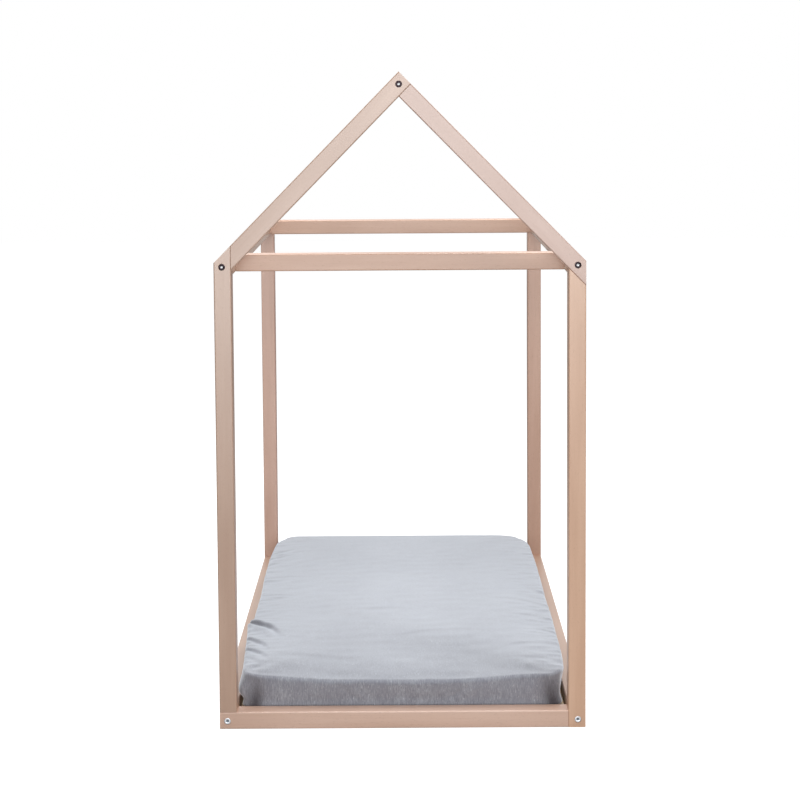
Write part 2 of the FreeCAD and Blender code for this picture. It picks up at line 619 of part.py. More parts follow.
def frame_bolt_places(kind):
    """X and Z of the bolts of one end frame: at the ridge and eaves, or at the feet."""
    eave = f"({HALF_WIDTH} - EaveBoltInset)"
    foot = f"({HALF_WIDTH} - CornerBoltInset)"
    places = {"upper": [("0", RIDGE_BOLT_HEIGHT), (f"-{eave}", EAVE_BOLT_HEIGHT),
                        (eave, EAVE_BOLT_HEIGHT)],
              "corner": [(f"-{foot}", "CornerBoltRise"), (foot, "CornerBoltRise")]}
    return places[kind]


def make_frame_bolts(name, kind):
    """The bolts through the laps of both end frames."""
    bolts = []
    for end, rotation in ENDS:
        along = f"{end} * ({HALF_LENGTH} - HeadSeatDepth + BoltHeadThickness)"
        for across, up in frame_bolt_places(kind):
            bolts.append(make_bolt(f"{name}_{len(bolts) + 1}", "FrameBoltLength",
                                   (across, along, up), rotation))
    return group(name, bolts)


def make_barrel_nuts(name):
    """The nuts of the frame bolts: upright in the ridge beam, crosswise in the others."""
    nuts = []
    for end, rotation in ENDS:
        along = f"{end} * ({HALF_LENGTH} - BattenDepth - BarrelInset)"
        for across, up in frame_bolt_places("upper") + frame_bolt_places("corner"):
            nut_rotation = Rotation() if across == "0" else ALONG_X
            nuts.append(make_nut(f"{name}_{len(nuts) + 1}", (across, along, up), nut_rotation,
                                 rotation))
    return group(name, nuts)


def crossbar_along(end):
    """Y of the middle of a crossbar."""
    return f"{end} * ({HALF_LENGTH} - BattenDepth - CrossbarInset - BattenDepth / 2)"


def make_crossbar_bolts(name):
    """The bolts through the eave beams into the crossbars."""
    bolts = []
    for end in (-1, 1):
        for side, rotation in SIDES:
            across = f"{side} * ({HALF_WIDTH} - HeadSeatDepth + BoltHeadThickness)"
            bolts.append(make_bolt(f"{name}_{len(bolts) + 1}", "CrossbarBoltLength",
                                   (across, crossbar_along(end), CROSSBAR_MIDDLE), rotation))
    return group(name, bolts)


def make_crossbar_nuts(name):
    """The upright nuts in the crossbars' ends."""
    nuts = []
    for end in (-1, 1):
        for side, rotation in SIDES:
            across = f"{side} * ({HALF_WIDTH} - BattenFace - BarrelInset)"
            nuts.append(make_nut(f"{name}_{len(nuts) + 1}",
                                 (across, crossbar_along(end), CROSSBAR_MIDDLE), Rotation(),
                                 rotation))
    return group(name, nuts)


def make_dowels(name):
    """The dowels beside all the bolts, which keep beams and crossbars from turning."""
    dowels = []
    for end, rotation in ENDS:
        along = f"{end} * ({HALF_LENGTH} - BattenDepth + DowelLength / 2)"
        for kind in ("upper", "corner"):
            for across, up in frame_bolt_places(kind):
                offset = "- DowelOffset" if across == "0" else "+ DowelOffset"
                dowels.append(make_dowel(f"{name}_{len(dowels) + 1}",
                                         (across, along, f"{up} {offset}"), rotation))
    for end in (-1, 1):
        for side, rotation in SIDES:
            across = f"{side} * ({HALF_WIDTH} - BattenFace + DowelLength / 2)"
            along = f"{crossbar_along(end)} - {end} * DowelOffset"
            dowels.append(make_dowel(f"{name}_{len(dowels) + 1}",
                                     (across, along, CROSSBAR_MIDDLE), rotation))
    return group(name, dowels)


def make_ledger_screws(name):
    """The screws through the ledgers into the side rails."""
    screws = []
    for side, rotation in ((-1, AGAINST_X), (1, ALONG_X)):
        across = f"{side} * ({HALF_WIDTH} - BattenFace - LedgerWidth)"
        for number in range(int(worth("LedgerScrewCount"))):
            along = f"{side} * ({HALF_LENGTH} - BattenDepth - LedgerEndGap)"
            along = f"{along} - {side} * ({ledger_screw_along(number)})"
            screws.append(make_screw(f"{name}_{len(screws) + 1}", "LedgerScrewLength",
                                     (across, along, "LedgerRise + LedgerHeight / 2"),
                                     rotation))
    return group(name, screws)


def make_slat_screws(name):
    """The screws through the first and last slat into the ledgers."""
    screws = []
    for end in (-1, 1):
        along = f"{end} * ({HALF_LENGTH} - BattenDepth - SlatEndGap - SlatWidth / 2)"
        for side in (-1, 1):
            across = f"{side} * ({HALF_WIDTH} - BattenFace - LedgerWidth / 2)"
            screws.append(make_screw(f"{name}_{len(screws) + 1}", "SlatScrewLength",
                                     (across, along, f"{SLAT_BASE} + SlatThickness"),
                                     DOWNWARD))
    return group(name, screws)


# ---------------------------------------------------------------- mattress and sheet

ROUND_STEPS = 3  # in a quarter round along the mattress's edges
CROWN_STEPS = 3  # from the edge of the mattress's top to its crown
CROWN_FLAT = 0.12  # share of the width that is level at the crown


def bend(centre, radius, first_turn, last_turn):
    """An arc in a sketch's plane, from its first turn about the centre to its last."""
    return Part.ArcOfCircle(Part.Circle(centre, Vector(0, 0, 1), radius), first_turn, last_turn)


def side_bend(start, end, draw):
    """An arc drawn in, at its middle, to the left of the straight way from start to end."""
    half = (end - start) / 2
    radius = (half.Length ** 2 + draw ** 2) / (2 * draw)
    inwards = Vector(-half.y, half.x, 0).normalize()
    middle_turn = math.atan2(inwards.y, inwards.x)
    half_turn = math.asin(half.Length / radius)
    return bend(start + half + inwards * (draw - radius), radius, middle_turn - half_turn,
                middle_turn + half_turn)


def pillow_outline(body, name, height, margin, corner, draw):
    """A sketch at one height: the sheet's rectangle less a margin, with round corners and sides
    drawn in at their middles."""
    sketch = new_sketch(body, name, "XY", height)
    near = f"({margin} + {corner})"
    far_x = f"({SHEET_WIDTH} - {near})"
    far_y = f"({SHEET_LENGTH} - {near})"
    centres = [(near, near), (far_x, near), (far_x, far_y), (near, far_y)]
    bends = []
    for index, (across, along) in enumerate(centres):
        turn = math.pi * (1 + index / 2)
        bends.append(bend(Vector(worth(across), worth(along), 0), worth(corner), turn,
                          turn + math.pi / 2))
    sides = [side_bend(this.EndPoint, following.StartPoint, worth(draw))
             for this, following in zip(bends, bends[1:] + bends[:1])]
    sketch.addGeometry(bends + sides)
    for index, centre in enumerate(centres):
        fix_point(sketch, index, 3, *centre)
        hold(sketch, corner, "Radius", index)
        level, upright = (1, 2) if index % 2 == 0 else (2, 1)
        sketch.addConstraint(Sketcher.Constraint("Horizontal", index, level, index, 3))
        sketch.addConstraint(Sketcher.Constraint("Vertical", index, upright, index, 3))
        side = len(bends) + index
        following = (index + 1) % len(bends)
        sketch.addConstraint(Sketcher.Constraint("Coincident", side, 2, index, 2))
        sketch.addConstraint(Sketcher.Constraint("Coincident", side, 1, following, 1))
        half_run = f"({far_x if index % 2 == 0 else far_y} - {near}) / 2"
        hold(sketch, f"(({half_run}) ^ 2 + ({draw}) ^ 2) / (2 * {draw})", "Radius", side)
    return sketch


def pillow_levels(grow):
    """Inset and height of each outline of the mattress's form, grown by a formula on all sides:
    round lower and upper edges, and a low crown."""
    foot_round = f"(MattressFootRound + {grow})"
    top_round = f"(MattressTopRound + {grow})"
    base = f"({SLAT_BASE} + SlatThickness + SoftGap + SheetThickness - {grow})"
    edge_top = f"({base} + MattressThickness + 2 * {grow})"
    turns = [math.pi / 2 * step / ROUND_STEPS for step in range(ROUND_STEPS + 1)]
    levels = [(f"({foot_round} * {1 - math.sin(turn):.5f})",
               f"({base} + {foot_round} * {1 - math.cos(turn):.5f})") for turn in turns]
    levels += [(f"({top_round} * {1 - math.cos(turn):.5f})",
                f"({edge_top} - {top_round} * {1 - math.sin(turn):.5f})") for turn in turns]
    slope = f"({1 - CROWN_FLAT} * (MattressWidth / 2 + {grow}) - {top_round})"
    for step in range(1, CROWN_STEPS + 1):
        share = step / CROWN_STEPS
        levels.append((f"({top_round} + {slope} * {share:.5f})",
                       f"({edge_top} + MattressCrown * {math.sin(math.pi / 2 * share):.5f})"))
    return levels


def add_pillow(body, kind, name, grow):
    """Loft the mattress's form onto a body, or out of it."""
    half_width = f"(MattressWidth / 2 + {grow})"
    outlines = []
    for index, (inset, height) in enumerate(pillow_levels(grow)):
        corner = f"max(MattressCorner + {grow} - {inset}; {CROWN_FLAT / 2} * {half_width})"
        draw = f"(MattressDraw * (1 - {inset} / {half_width}))"
        outlines.append(pillow_outline(body, f"{body.Label}_{name}_{index}", height,
                                       f"(SheetThickness - {grow} + {inset})", corner, draw))
    loft = body.newObject(kind, f"{body.Label}_{name}")
    loft.Profile = outlines[0]
    loft.Sections = outlines[1:]
    loft.Ruled = True
    doc.recompute()


def new_soft_body(name):
    """An empty body, its origin below the front left corner of the sheeted mattress."""
    body = doc.addObject("PartDesign::Body", name)
    body.Label = name
    place(body, f"-{SHEET_WIDTH} / 2", f"-{SHEET_LENGTH} / 2", "0")
    return body


def make_mattress(name):
    """The foam mattress."""
    body = new_soft_body(name)
    add_pillow(body, "PartDesign::AdditiveLoft", "form", "0")
    return body


def make_fitted_sheet(name):
    """The sheet: a skin over the whole mattress, tucked under it and open below."""
    body = new_soft_body(name)
    add_pillow(body, "PartDesign::AdditiveLoft", "outside", "SheetThickness")
    add_pillow(body, "PartDesign::SubtractiveLoft", "inside", "0")
    opening = pillow_outline(body, f"{name}_opening_outline", f"{SLAT_BASE}",
                             "(SheetThickness + SheetTuck)", "MattressCorner", "MattressDraw")
    pocket_out(body, "opening", opening, "XY", "SlatThickness + SoftGap + 2 * SheetThickness")
    return body


# ---------------------------------------------------------------- the whole bed

parts = [
    make_post("front_post_left", FRONT_LEFT, True),
    make_post("front_post_right", FRONT_RIGHT, False),
    make_post("rear_post_right", REAR_RIGHT, True),
    make_post("rear_post_left", REAR_LEFT, False),
    make_rafter("front_rafter_left", FRONT_LEFT, True),
    make_rafter("front_rafter_right", FRONT_RIGHT, False),
    make_rafter("rear_rafter_right", REAR_RIGHT, True),
    make_rafter("rear_rafter_left", REAR_LEFT, False),
    make_end_rail("front_rail", FRONT_LEFT),
    make_end_rail("rear_rail", REAR_RIGHT),
    make_side_rail("side_rail_left", False),
    make_side_rail("side_rail_right", True),
    make_eave_beam("eave_beam_left", False),
    make_eave_beam("eave_beam_right", True),
    make_ridge_beam("ridge_beam"),
    make_crossbar("front_crossbar", False),
    make_crossbar("rear_crossbar", True),
    make_ledger("ledger_left", False),
    make_ledger("ledger_right", True),
    make_strap("slat_strap_left", -1),
    make_strap("slat_strap_right", 1),
    make_frame_bolts("upper_bolts", "upper"),
    make_frame_bolts("corner_bolts", "corner"),
    make_barrel_nuts("barrel_nuts"),
    make_crossbar_bolts("crossbar_bolts"),
    make_crossbar_nuts("crossbar_nuts"),
    make_dowels("frame_dowels"),
    make_ledger_screws("ledger_screws"),
    make_slat_screws("slat_screws"),
    make_mattress("mattress_core"),
    make_fitted_sheet("fitted_sheet"),
]
last_slat = int(worth("SlatCount")) - 1
for slat_number in range(last_slat + 1):
    parts.append(make_slat(f"slat_{slat_number + 1:02d}", slat_number,
                           slat_number in (0, last_slat)))

doc.recompute()
for thing in doc.Objects:
    if "Invalid" in thing.State or "Error" in thing.State:
        raise RuntimeError(f"{thing.Name} failed: {thing.State}")
for part in parts:
    if part.Shape.isNull() or not part.Shape.isValid():
        raise RuntimeError(f"{part.Label} has no valid shape")

os.makedirs("parts", exist_ok=True)
for part in parts:
    part.Shape.exportStep(f"parts/{part.Label}.step")
    box = part.Shape.BoundBox
    print(f"{part.Label}: {len(part.Shape.Solids)} solids, {box.XLength:.1f} x"
          f" {box.YLength:.1f} x {box.ZLength:.1f} mm, foot at {box.ZMin:.1f}")
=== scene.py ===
"""Looks of the house frame bed: beech battens, bright fittings and a mattress in its sheet.

Lengths are in metres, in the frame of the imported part: X across the bed, +Y to its back, +Z up.
"""

import math

import bmesh
import bpy
import numpy as np
from mathutils import Matrix, Vector


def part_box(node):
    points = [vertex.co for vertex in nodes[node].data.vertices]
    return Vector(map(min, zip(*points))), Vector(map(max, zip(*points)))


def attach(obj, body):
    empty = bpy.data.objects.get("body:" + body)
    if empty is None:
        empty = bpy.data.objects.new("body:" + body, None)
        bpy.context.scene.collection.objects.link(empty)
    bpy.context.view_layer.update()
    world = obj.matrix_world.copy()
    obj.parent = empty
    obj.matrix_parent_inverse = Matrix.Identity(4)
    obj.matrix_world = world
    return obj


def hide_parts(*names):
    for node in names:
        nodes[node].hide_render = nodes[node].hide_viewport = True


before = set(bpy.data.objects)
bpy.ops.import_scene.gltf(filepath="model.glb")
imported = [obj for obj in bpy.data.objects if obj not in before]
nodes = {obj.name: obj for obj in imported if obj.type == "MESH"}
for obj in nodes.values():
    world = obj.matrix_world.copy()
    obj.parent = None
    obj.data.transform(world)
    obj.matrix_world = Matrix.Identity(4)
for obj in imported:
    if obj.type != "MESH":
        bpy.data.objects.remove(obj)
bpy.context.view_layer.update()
scene = bpy.context.scene


# ---------------------------------------------------------------- camera

CAMERA_PLACE = (0.0094, -5.1064, 1.3605)
CAMERA_TILT = 0.0888  # down from level, in radians
CAMERA_TURN = -0.0021  # to its right
CAMERA_ROLL = 0.0064
CAMERA_LENS = 93.37  # mm, on a 36 mm sensor
CAMERA_SHIFT = -0.1532  # share of the picture's width, upwards


def make_camera():
    """The photograph's viewpoint."""
    data = bpy.data.cameras.new("camera")
    data.sensor_width = 36
    data.lens = CAMERA_LENS
    data.shift_y = CAMERA_SHIFT
    data.clip_end = 60
    camera = bpy.data.objects.new("camera", data)
    scene.collection.objects.link(camera)
    turn = Matrix.Rotation(-CAMERA_TURN, 4, "Z")
    tilt = Matrix.Rotation(math.pi / 2 - CAMERA_TILT, 4, "X")
    roll = Matrix.Rotation(-CAMERA_ROLL, 4, "Z")
    camera.matrix_world = Matrix.Translation(CAMERA_PLACE) @ turn @ tilt @ roll
    scene.camera = camera


make_camera()


# ---------------------------------------------------------------- materials

class Nodes:
    """A material's or a world's node tree, built by short calls."""

    def __init__(self, owner):
        owner.use_nodes = True
        self.tree = owner.node_tree
        self.tree.nodes.clear()

    def add(self, kind, inputs=None, **settings):
        """A node with its settings, and its inputs set or linked."""
        node = self.tree.nodes.new(kind)
        for name, value in settings.items():
            setattr(node, name, value)
        for key, value in (inputs or {}).items():
            if isinstance(value, bpy.types.NodeSocket):
                self.tree.links.new(value, node.inputs[key])
            else:
                node.inputs[key].default_value = value
        return node

    def noise(self, vector, scale, detail=2.0, roughness=0.5):
        """Soft noise between 0 and 1."""
        return self.add("ShaderNodeTexNoise", {"Vector": vector, "Scale": scale,
                                               "Detail": detail,
                                               "Roughness": roughness}).outputs["Fac"]

    def stretch(self, value, low, high, to_low=0.0, to_high=1.0):
        """A value from one range in another, kept inside it."""
        return self.add("ShaderNodeMapRange", {"Value": value, "From Min": low,
                                               "From Max": high, "To Min": to_low,
                                               "To Max": to_high}).outputs["Result"]

    def math(self, operation, first, second):
        """Two values worked into one."""
        return self.add("ShaderNodeMath", {0: first, 1: second},
                        operation=operation).outputs["Value"]

    def mix(self, factor, first, second):
        """Two colours mixed."""
        node = self.add("ShaderNodeMix", data_type="RGBA")
        for socket, value in (("Factor_Float", factor), ("A_Color", first),
                              ("B_Color", second)):
            target = next(s for s in node.inputs if s.identifier == socket)
            if isinstance(value, bpy.types.NodeSocket):
                self.tree.links.new(value, target)
            else:
                target.default_value = value
        return next(s for s in node.outputs if s.identifier == "Result_Color")

    def scaled(self, vector, scale, rotation=(0, 0, 0)):
        """Coordinates turned, then scaled along their axes."""
        turned = self.add("ShaderNodeMapping", {"Vector": vector, "Rotation": rotation})
        return self.add("ShaderNodeMapping", {"Vector": turned.outputs["Vector"],
                                              "Scale": scale}).outputs["Vector"]

    def bump(self, height, strength, distance, normal=None):
        """A bumped normal."""
        inputs = {"Height": height, "Strength": strength, "Distance": distance}
        if normal:
            inputs["Normal"] = normal
        return self.add("ShaderNodeBump", inputs).outputs["Normal"]

    def output(self, shader, kind="ShaderNodeOutputMaterial"):
        """The tree's output."""
        self.add(kind, {"Surface": shader})


def srgb(red, green, blue):
    """A colour given as it shows on a screen, 0 to 255, in linear light."""
    shares = (channel / 255 for channel in (red, green, blue))
    return (*(share / 12.92 if share <= 0.04045 else ((share + 0.055) / 1.055) ** 2.4
              for share in shares), 1.0)


ROOF_SLOPE = math.radians(45.5)
# Turns that bring a batten's length along X.
ALONG = {"x": (0, 0, 0), "y": (0, 0, -math.pi / 2), "z": (0, math.pi / 2, 0),
         "rising": (0, ROOF_SLOPE, 0), "falling": (0, -ROOF_SLOPE, 0)}
GRAIN_SHIFT = 23.0  # sets the battens apart in the wood's pattern

BEECH = {"light": srgb(198, 164, 141), "middle": srgb(188, 152, 128),
         "dark": srgb(169, 131, 106), "fleck": srgb(138, 100, 77)}
SLATS = {"light": srgb(232, 214, 184), "middle": srgb(224, 202, 168),
         "dark": srgb(208, 180, 142), "fleck": srgb(180, 148, 108)}


def wood(name, along, colours, roughness, painted_light_tone=(1, 1, 1), gloss=0.75):
    """Sanded timber: growth figure, fine fibres and short ray flecks along one axis.

    The fifth argument multiplies the colours, channel by channel: painted light and shade, which
    makes each piece's copy lighter, darker or bluer by how lit it is.
    """
    colours = {part: tuple(share * channel for share, channel in zip(painted_light_tone, colour)) + (1.0,)
               for part, colour in colours.items()}
    material = bpy.data.materials.new(name)
    tree = Nodes(material)
    place = tree.add("ShaderNodeTexCoord").outputs["Object"]
    own = tree.add("ShaderNodeObjectInfo").outputs["Random"]
    shift = tree.math("MULTIPLY", own, GRAIN_SHIFT)
    moved = tree.add("ShaderNodeVectorMath", {0: place, 1: shift}, operation="ADD")
    place = moved.outputs["Vector"]
    # Noises: scaled along and across the grain, then their scale, detail and roughness.
    figure = tree.noise(tree.scaled(place, (1.2, 16, 16), ALONG[along]), 1.6, 3.0, 0.55)
    fibre = tree.noise(tree.scaled(place, (9, 420, 420), ALONG[along]), 1.0, 4.0, 0.6)
    cloud = tree.noise(tree.scaled(place, (2.2, 5, 5), ALONG[along]), 1.0, 2.0, 0.5)
    speck = tree.noise(tree.scaled(place, (130, 950, 950), ALONG[along]), 1.0, 1.0, 0.4)
    # Mixes: the part of a noise's range that shows, and how strongly.
    colour = tree.mix(tree.stretch(figure, 0.36, 0.66), colours["light"], colours["middle"])
    colour = tree.mix(tree.stretch(cloud, 0.45, 0.75, 0.0, 0.55), colour, colours["dark"])
    colour = tree.mix(tree.stretch(fibre, 0.52, 0.8, 0.0, 0.3), colour, colours["dark"])
    colour = tree.mix(tree.stretch(speck, 0.66, 0.78, 0.0, 0.4), colour, colours["fleck"])
    relief = tree.bump(fibre, 0.12, 0.0004)
    shader = tree.add("ShaderNodeBsdfPrincipled", {
        "Base Color": colour, "Roughness": roughness, "Normal": relief,
        "Specular IOR Level": gloss})
    tree.output(shader.outputs["BSDF"])
    return material


def metal(name, colour, roughness):
    """Plated steel with faint turning marks."""
    material = bpy.data.materials.new(name)
    tree = Nodes(material)
    place = tree.add("ShaderNodeTexCoord").outputs["Object"]
    marks = tree.noise(tree.scaled(place, (900, 900, 900)), 1.0, 3.0, 0.6)
    tint = tree.mix(tree.stretch(marks, 0.3, 0.7), colour,
                    tuple(0.86 * channel for channel in colour[:3]) + (1.0,))
    gloss = tree.stretch(marks, 0.2, 0.8, roughness - 0.05, roughness + 0.08)
    shader = tree.add("ShaderNodeBsdfPrincipled", {
        "Base Color": tint, "Metallic": 1.0, "Roughness": gloss,
        "Normal": tree.bump(marks, 0.06, 0.0002)})
    tree.output(shader.outputs["BSDF"])
    return material


def jersey(name):
    """Brushed melange jersey: light and dark fibres, short thread flecks and a soft nap, with a
    painted sheen and painted shade in its creases and grooves.
    """
    material = bpy.data.materials.new(name)
    tree = Nodes(material)
    place = tree.add("ShaderNodeTexCoord").outputs["Object"]
    yarn = tree.noise(tree.scaled(place, (420, 80, 80)), 1.0, 3.0, 0.65)
    fleck = tree.noise(tree.scaled(place, (560, 110, 110)), 1.0, 2.0, 0.6)
    cross = tree.noise(tree.scaled(place, (520, 520, 520)), 1.0, 2.0, 0.6)
    patch = tree.noise(tree.scaled(place, (42, 18, 18)), 1.0, 3.0, 0.55)
    # Painted shade darkens the fabric in its creases and grooves, and a painted sheen lightens it
    # where the sheet is seen at a grazing angle.
    colour = tree.mix(tree.stretch(yarn, 0.32, 0.68), srgb(131, 132, 140), srgb(165, 168, 177))
    colour = tree.mix(tree.stretch(cross, 0.55, 0.75, 0.0, 0.5), colour, srgb(105, 105, 114))
    colour = tree.mix(tree.stretch(fleck, 0.60, 0.72, 0.0, 0.7), colour, srgb(208, 212, 221))
    colour = tree.mix(tree.stretch(patch, 0.35, 0.7, 0.0, 0.5), colour, srgb(128, 129, 139))
    # Painted shade: a point attribute of the sheet darkens the colour towards a dark grey in its
    # creases and grooves.
    painted_crease_shade = tree.add("ShaderNodeAttribute", attribute_name="painted_crease_shade").outputs["Fac"]
    # Painted sheen: the colour is lightened towards pale grey where the surface is seen at a
    # grazing angle.
    painted_sheen = tree.add("ShaderNodeLayerWeight", {"Blend": 0.5}).outputs["Facing"]
    colour = tree.mix(tree.stretch(painted_sheen, 0.45, 0.9, 0.0, 0.62), colour, srgb(216, 221, 226))
    colour = tree.mix(painted_crease_shade, colour, srgb(56, 48, 50))
    nap = tree.bump(cross, 0.25, 0.0005, tree.bump(yarn, 0.2, 0.0004))
    shader = tree.add("ShaderNodeBsdfPrincipled", {
        "Base Color": colour, "Roughness": 0.95, "Normal": nap,
        "Specular IOR Level": 0.1, "Sheen Weight": 1.0, "Sheen Roughness": 0.5,
        "Sheen Tint": srgb(236, 242, 252)})
    tree.output(shader.outputs["BSDF"])
    return material


def cloth(name, colour, thread, scale):
    """Plain woven cloth: two sets of threads."""
    material = bpy.data.materials.new(name)
    tree = Nodes(material)
    place = tree.add("ShaderNodeTexCoord").outputs["Object"]
    warp = tree.noise(tree.scaled(place, (scale, scale / 8, scale / 8)), 1.0, 2.0, 0.5)
    weft = tree.noise(tree.scaled(place, (scale / 8, scale, scale / 8)), 1.0, 2.0, 0.5)
    weave = tree.math("MAXIMUM", warp, weft)
    tint = tree.mix(tree.stretch(weave, 0.4, 0.8), colour, thread)
    shader = tree.add("ShaderNodeBsdfPrincipled", {
        "Base Color": tint, "Roughness": 0.9, "Normal": tree.bump(weave, 0.3, 0.0005),
        "Specular IOR Level": 0.15})
    tree.output(shader.outputs["BSDF"])
    return material


def finish_with(names, material):
    """Give CAD nodes a material."""
    for name in names:
        slots = nodes[name].data.materials
        slots.clear()
        slots.append(material)


# The beech copies differ by painted light and shade: the three numbers after the roughness make a
# piece lighter, darker or bluer by how lit it is.
beech_rail = wood("beech_rail", "x", BEECH, 0.35, (1.20, 1.26, 1.38), 1.0)
beech_x = wood("beech_along_x", "x", BEECH, 0.35, (1.02, 0.99, 1.0))
beech_y = wood("beech_along_y", "y", BEECH, 0.35, (0.94, 0.96, 1.0), 1.3)
beech_rising = wood("beech_rising", "rising", BEECH, 0.35, (0.92, 0.94, 0.98), 1.0)
beech_falling = wood("beech_falling", "falling", BEECH, 0.35, (0.93, 0.95, 1.08), 1.1)
slat_x = wood("slat_wood_along_x", "x", SLATS, 0.6)
slat_y = wood("slat_wood_along_y", "y", SLATS, 0.6)
zinc = metal("zinc_plate", srgb(226, 230, 235), 0.42)
# The upper bolts' heads: their dark colour is partly a dark finish and partly painted shade.
dark_and_shaded_steel = metal("dark_finish_and_painted_shade", srgb(40, 33, 36), 0.2)
# Painted shade: the zinc bolts' socket floors are coloured dark.
painted_shade_socket_steel = metal("painted_shade_socket_steel", srgb(92, 101, 110), 0.3)
# Painted highlight: the upper bolts' socket floors are coloured bright.
painted_highlight_steel = metal("painted_highlight_steel", srgb(236, 238, 240), 0.3)
tape = cloth("webbing_tape", srgb(226, 221, 210), srgb(204, 198, 186), 2400)
ticking = cloth("mattress_ticking", srgb(236, 233, 226), srgb(222, 218, 208), 1600)
sheet_fabric = jersey("melange_jersey")

finish_with(["front_rail", "rear_rail"], beech_rail)
finish_with(["front_crossbar", "rear_crossbar"], beech_x)
finish_with(["side_rail_left", "side_rail_right", "eave_beam_left", "eave_beam_right",
             "ridge_beam"], beech_y)
# Painted light and shade: each post's copy is made lighter or darker by how lit it is, the front
# left post darker and the front right and rear left posts lighter.
for post, painted_light_tone, gloss in (("front_post_left", (0.87, 0.86, 0.86), 1.3),
                          ("front_post_right", (1.15, 1.10, 1.02), 1.1),
                          ("rear_post_left", (1.16, 1.14, 1.24), 1.0),
                          ("rear_post_right", (1.0, 0.93, 0.94), 1.0)):
    finish_with([post], wood(f"beech_{post}", "z", BEECH, 0.35, painted_light_tone, gloss))
finish_with(["front_rafter_left", "rear_rafter_left"], beech_rising)
finish_with(["front_rafter_right", "rear_rafter_right"], beech_falling)
finish_with([name for name in nodes if name.startswith("slat_") and name[5:].isdigit()],
            slat_x)
finish_with(["ledger_left", "ledger_right", "frame_dowels"], slat_y)
finish_with(["slat_strap_left", "slat_strap_right"], tape)
finish_with(["barrel_nuts", "crossbar_nuts", "ledger_screws", "slat_screws"], zinc)


# ---------------------------------------------------------------- bolts

HEAD_RADIUS = 0.007
HEAD_THICKNESS = 0.0022
HEAD_BEVEL = 0.0006
KEY_RADIUS = 0.0029
KEY_LIP = 0.0003
KEY_MOUTH = 0.0002
KEY_TAPER = 0.96
KEY_DEPTH = 0.0018
KEY_POINT = 0.0007
SHANK_RADIUS = 0.003
SIDES = 36


def ring(mesh, radius, depth, sides=SIDES):
    """Points of a circle about Z, or of a hexagon's outline if it has six sides."""
    points = []
    for index in range(SIDES):
        turn = 2 * math.pi * index / SIDES
        reach = radius
        if sides == 6:
            within = (turn + math.pi / 6) % (math.pi / 3) - math.pi / 6
            reach = radius * math.cos(math.pi / 6) / math.cos(within)
        points.append(mesh.verts.new((reach * math.cos(turn), reach * math.sin(turn), depth)))
    return points


def bridge(mesh, first, second, slot=0):
    """Faces between two rings."""
    for index in range(SIDES):
        following = (index + 1) % SIDES
        face = mesh.faces.new((first[index], first[following], second[following],
                               second[index]))
        face.material_index = slot
        face.smooth = True


def bolt_mesh(shank_length):
    """A bolt from the face of its head at 0 to its tip, along +Z, with a six-sided socket."""
    mesh = bmesh.new()
    tip = mesh.verts.new((0, 0, KEY_DEPTH + KEY_POINT))
    floor = ring(mesh, KEY_RADIUS * KEY_TAPER, KEY_DEPTH, sides=6)
    for index in range(SIDES):
        face = mesh.faces.new((tip, floor[index], floor[(index + 1) % SIDES]))
        face.material_index = 1
    mouth = ring(mesh, KEY_RADIUS, KEY_MOUTH, sides=6)
    lip = ring(mesh, KEY_RADIUS + KEY_LIP, 0.0, sides=6)
    outlines = [floor, mouth, lip,
                ring(mesh, HEAD_RADIUS - HEAD_BEVEL, 0.0),
                ring(mesh, HEAD_RADIUS - 0.3 * HEAD_BEVEL, 0.3 * HEAD_BEVEL),
                ring(mesh, HEAD_RADIUS, HEAD_BEVEL),
                ring(mesh, HEAD_RADIUS, HEAD_THICKNESS),
                ring(mesh, SHANK_RADIUS, HEAD_THICKNESS),
                ring(mesh, SHANK_RADIUS, HEAD_THICKNESS + shank_length)]
    for index, (near, far) in enumerate(zip(outlines, outlines[1:])):
        bridge(mesh, near, far, slot=1 if index == 0 else 0)
    mesh.faces.new(outlines[-1])
    bmesh.ops.recalc_face_normals(mesh, faces=mesh.faces)
    return mesh


def make_bolts(name, places, shank_length, finishes):
    """Bolts at places, each a point on the face of its head and the way it goes in."""
    whole = bmesh.new()
    for place, direction in places:
        one = bolt_mesh(shank_length)
        turn = Vector((0, 0, 1)).rotation_difference(Vector(direction)).to_matrix().to_4x4()
        one.transform(Matrix.Translation(place) @ turn)
        data = bpy.data.meshes.new("bolt")
        one.to_mesh(data)
        one.free()
        whole.from_mesh(data)
        bpy.data.meshes.remove(data)
    mesh = bpy.data.meshes.new(name)
    whole.to_mesh(mesh)
    whole.free()
    bolts = bpy.data.objects.new(name, mesh)
    for finish in finishes:
        mesh.materials.append(finish)
    scene.collection.objects.link(bolts)
    return bolts


def bolt_places(node):
    """The face of each head of a CAD node's bolts and the way they go in, from its mesh."""
    mesh = bmesh.new()
    mesh.from_mesh(nodes[node].data)
    bmesh.ops.remove_doubles(mesh, verts=mesh.verts, dist=1e-5)
    left = set(mesh.verts)
    places = []
    while left:
        island = set()
        border = {left.pop()}
        while border:
            island |= border
            border = {edge.other_vert(vert) for vert in border
                      for edge in vert.link_edges} - island
        left -= island
        points = np.array([vert.co for vert in island])
        low, high = points.min(0), points.max(0)
        axis = int(np.argmax(high - low))
        middle = (low + high) / 2
        outwards = 1.0 if middle[axis] > 0 else -1.0
        middle[axis] = high[axis] if outwards > 0 else low[axis]
        direction = [0.0, 0.0, 0.0]
        direction[axis] = -outwards
        places.append((Vector(middle), direction))
    mesh.free()
    return places


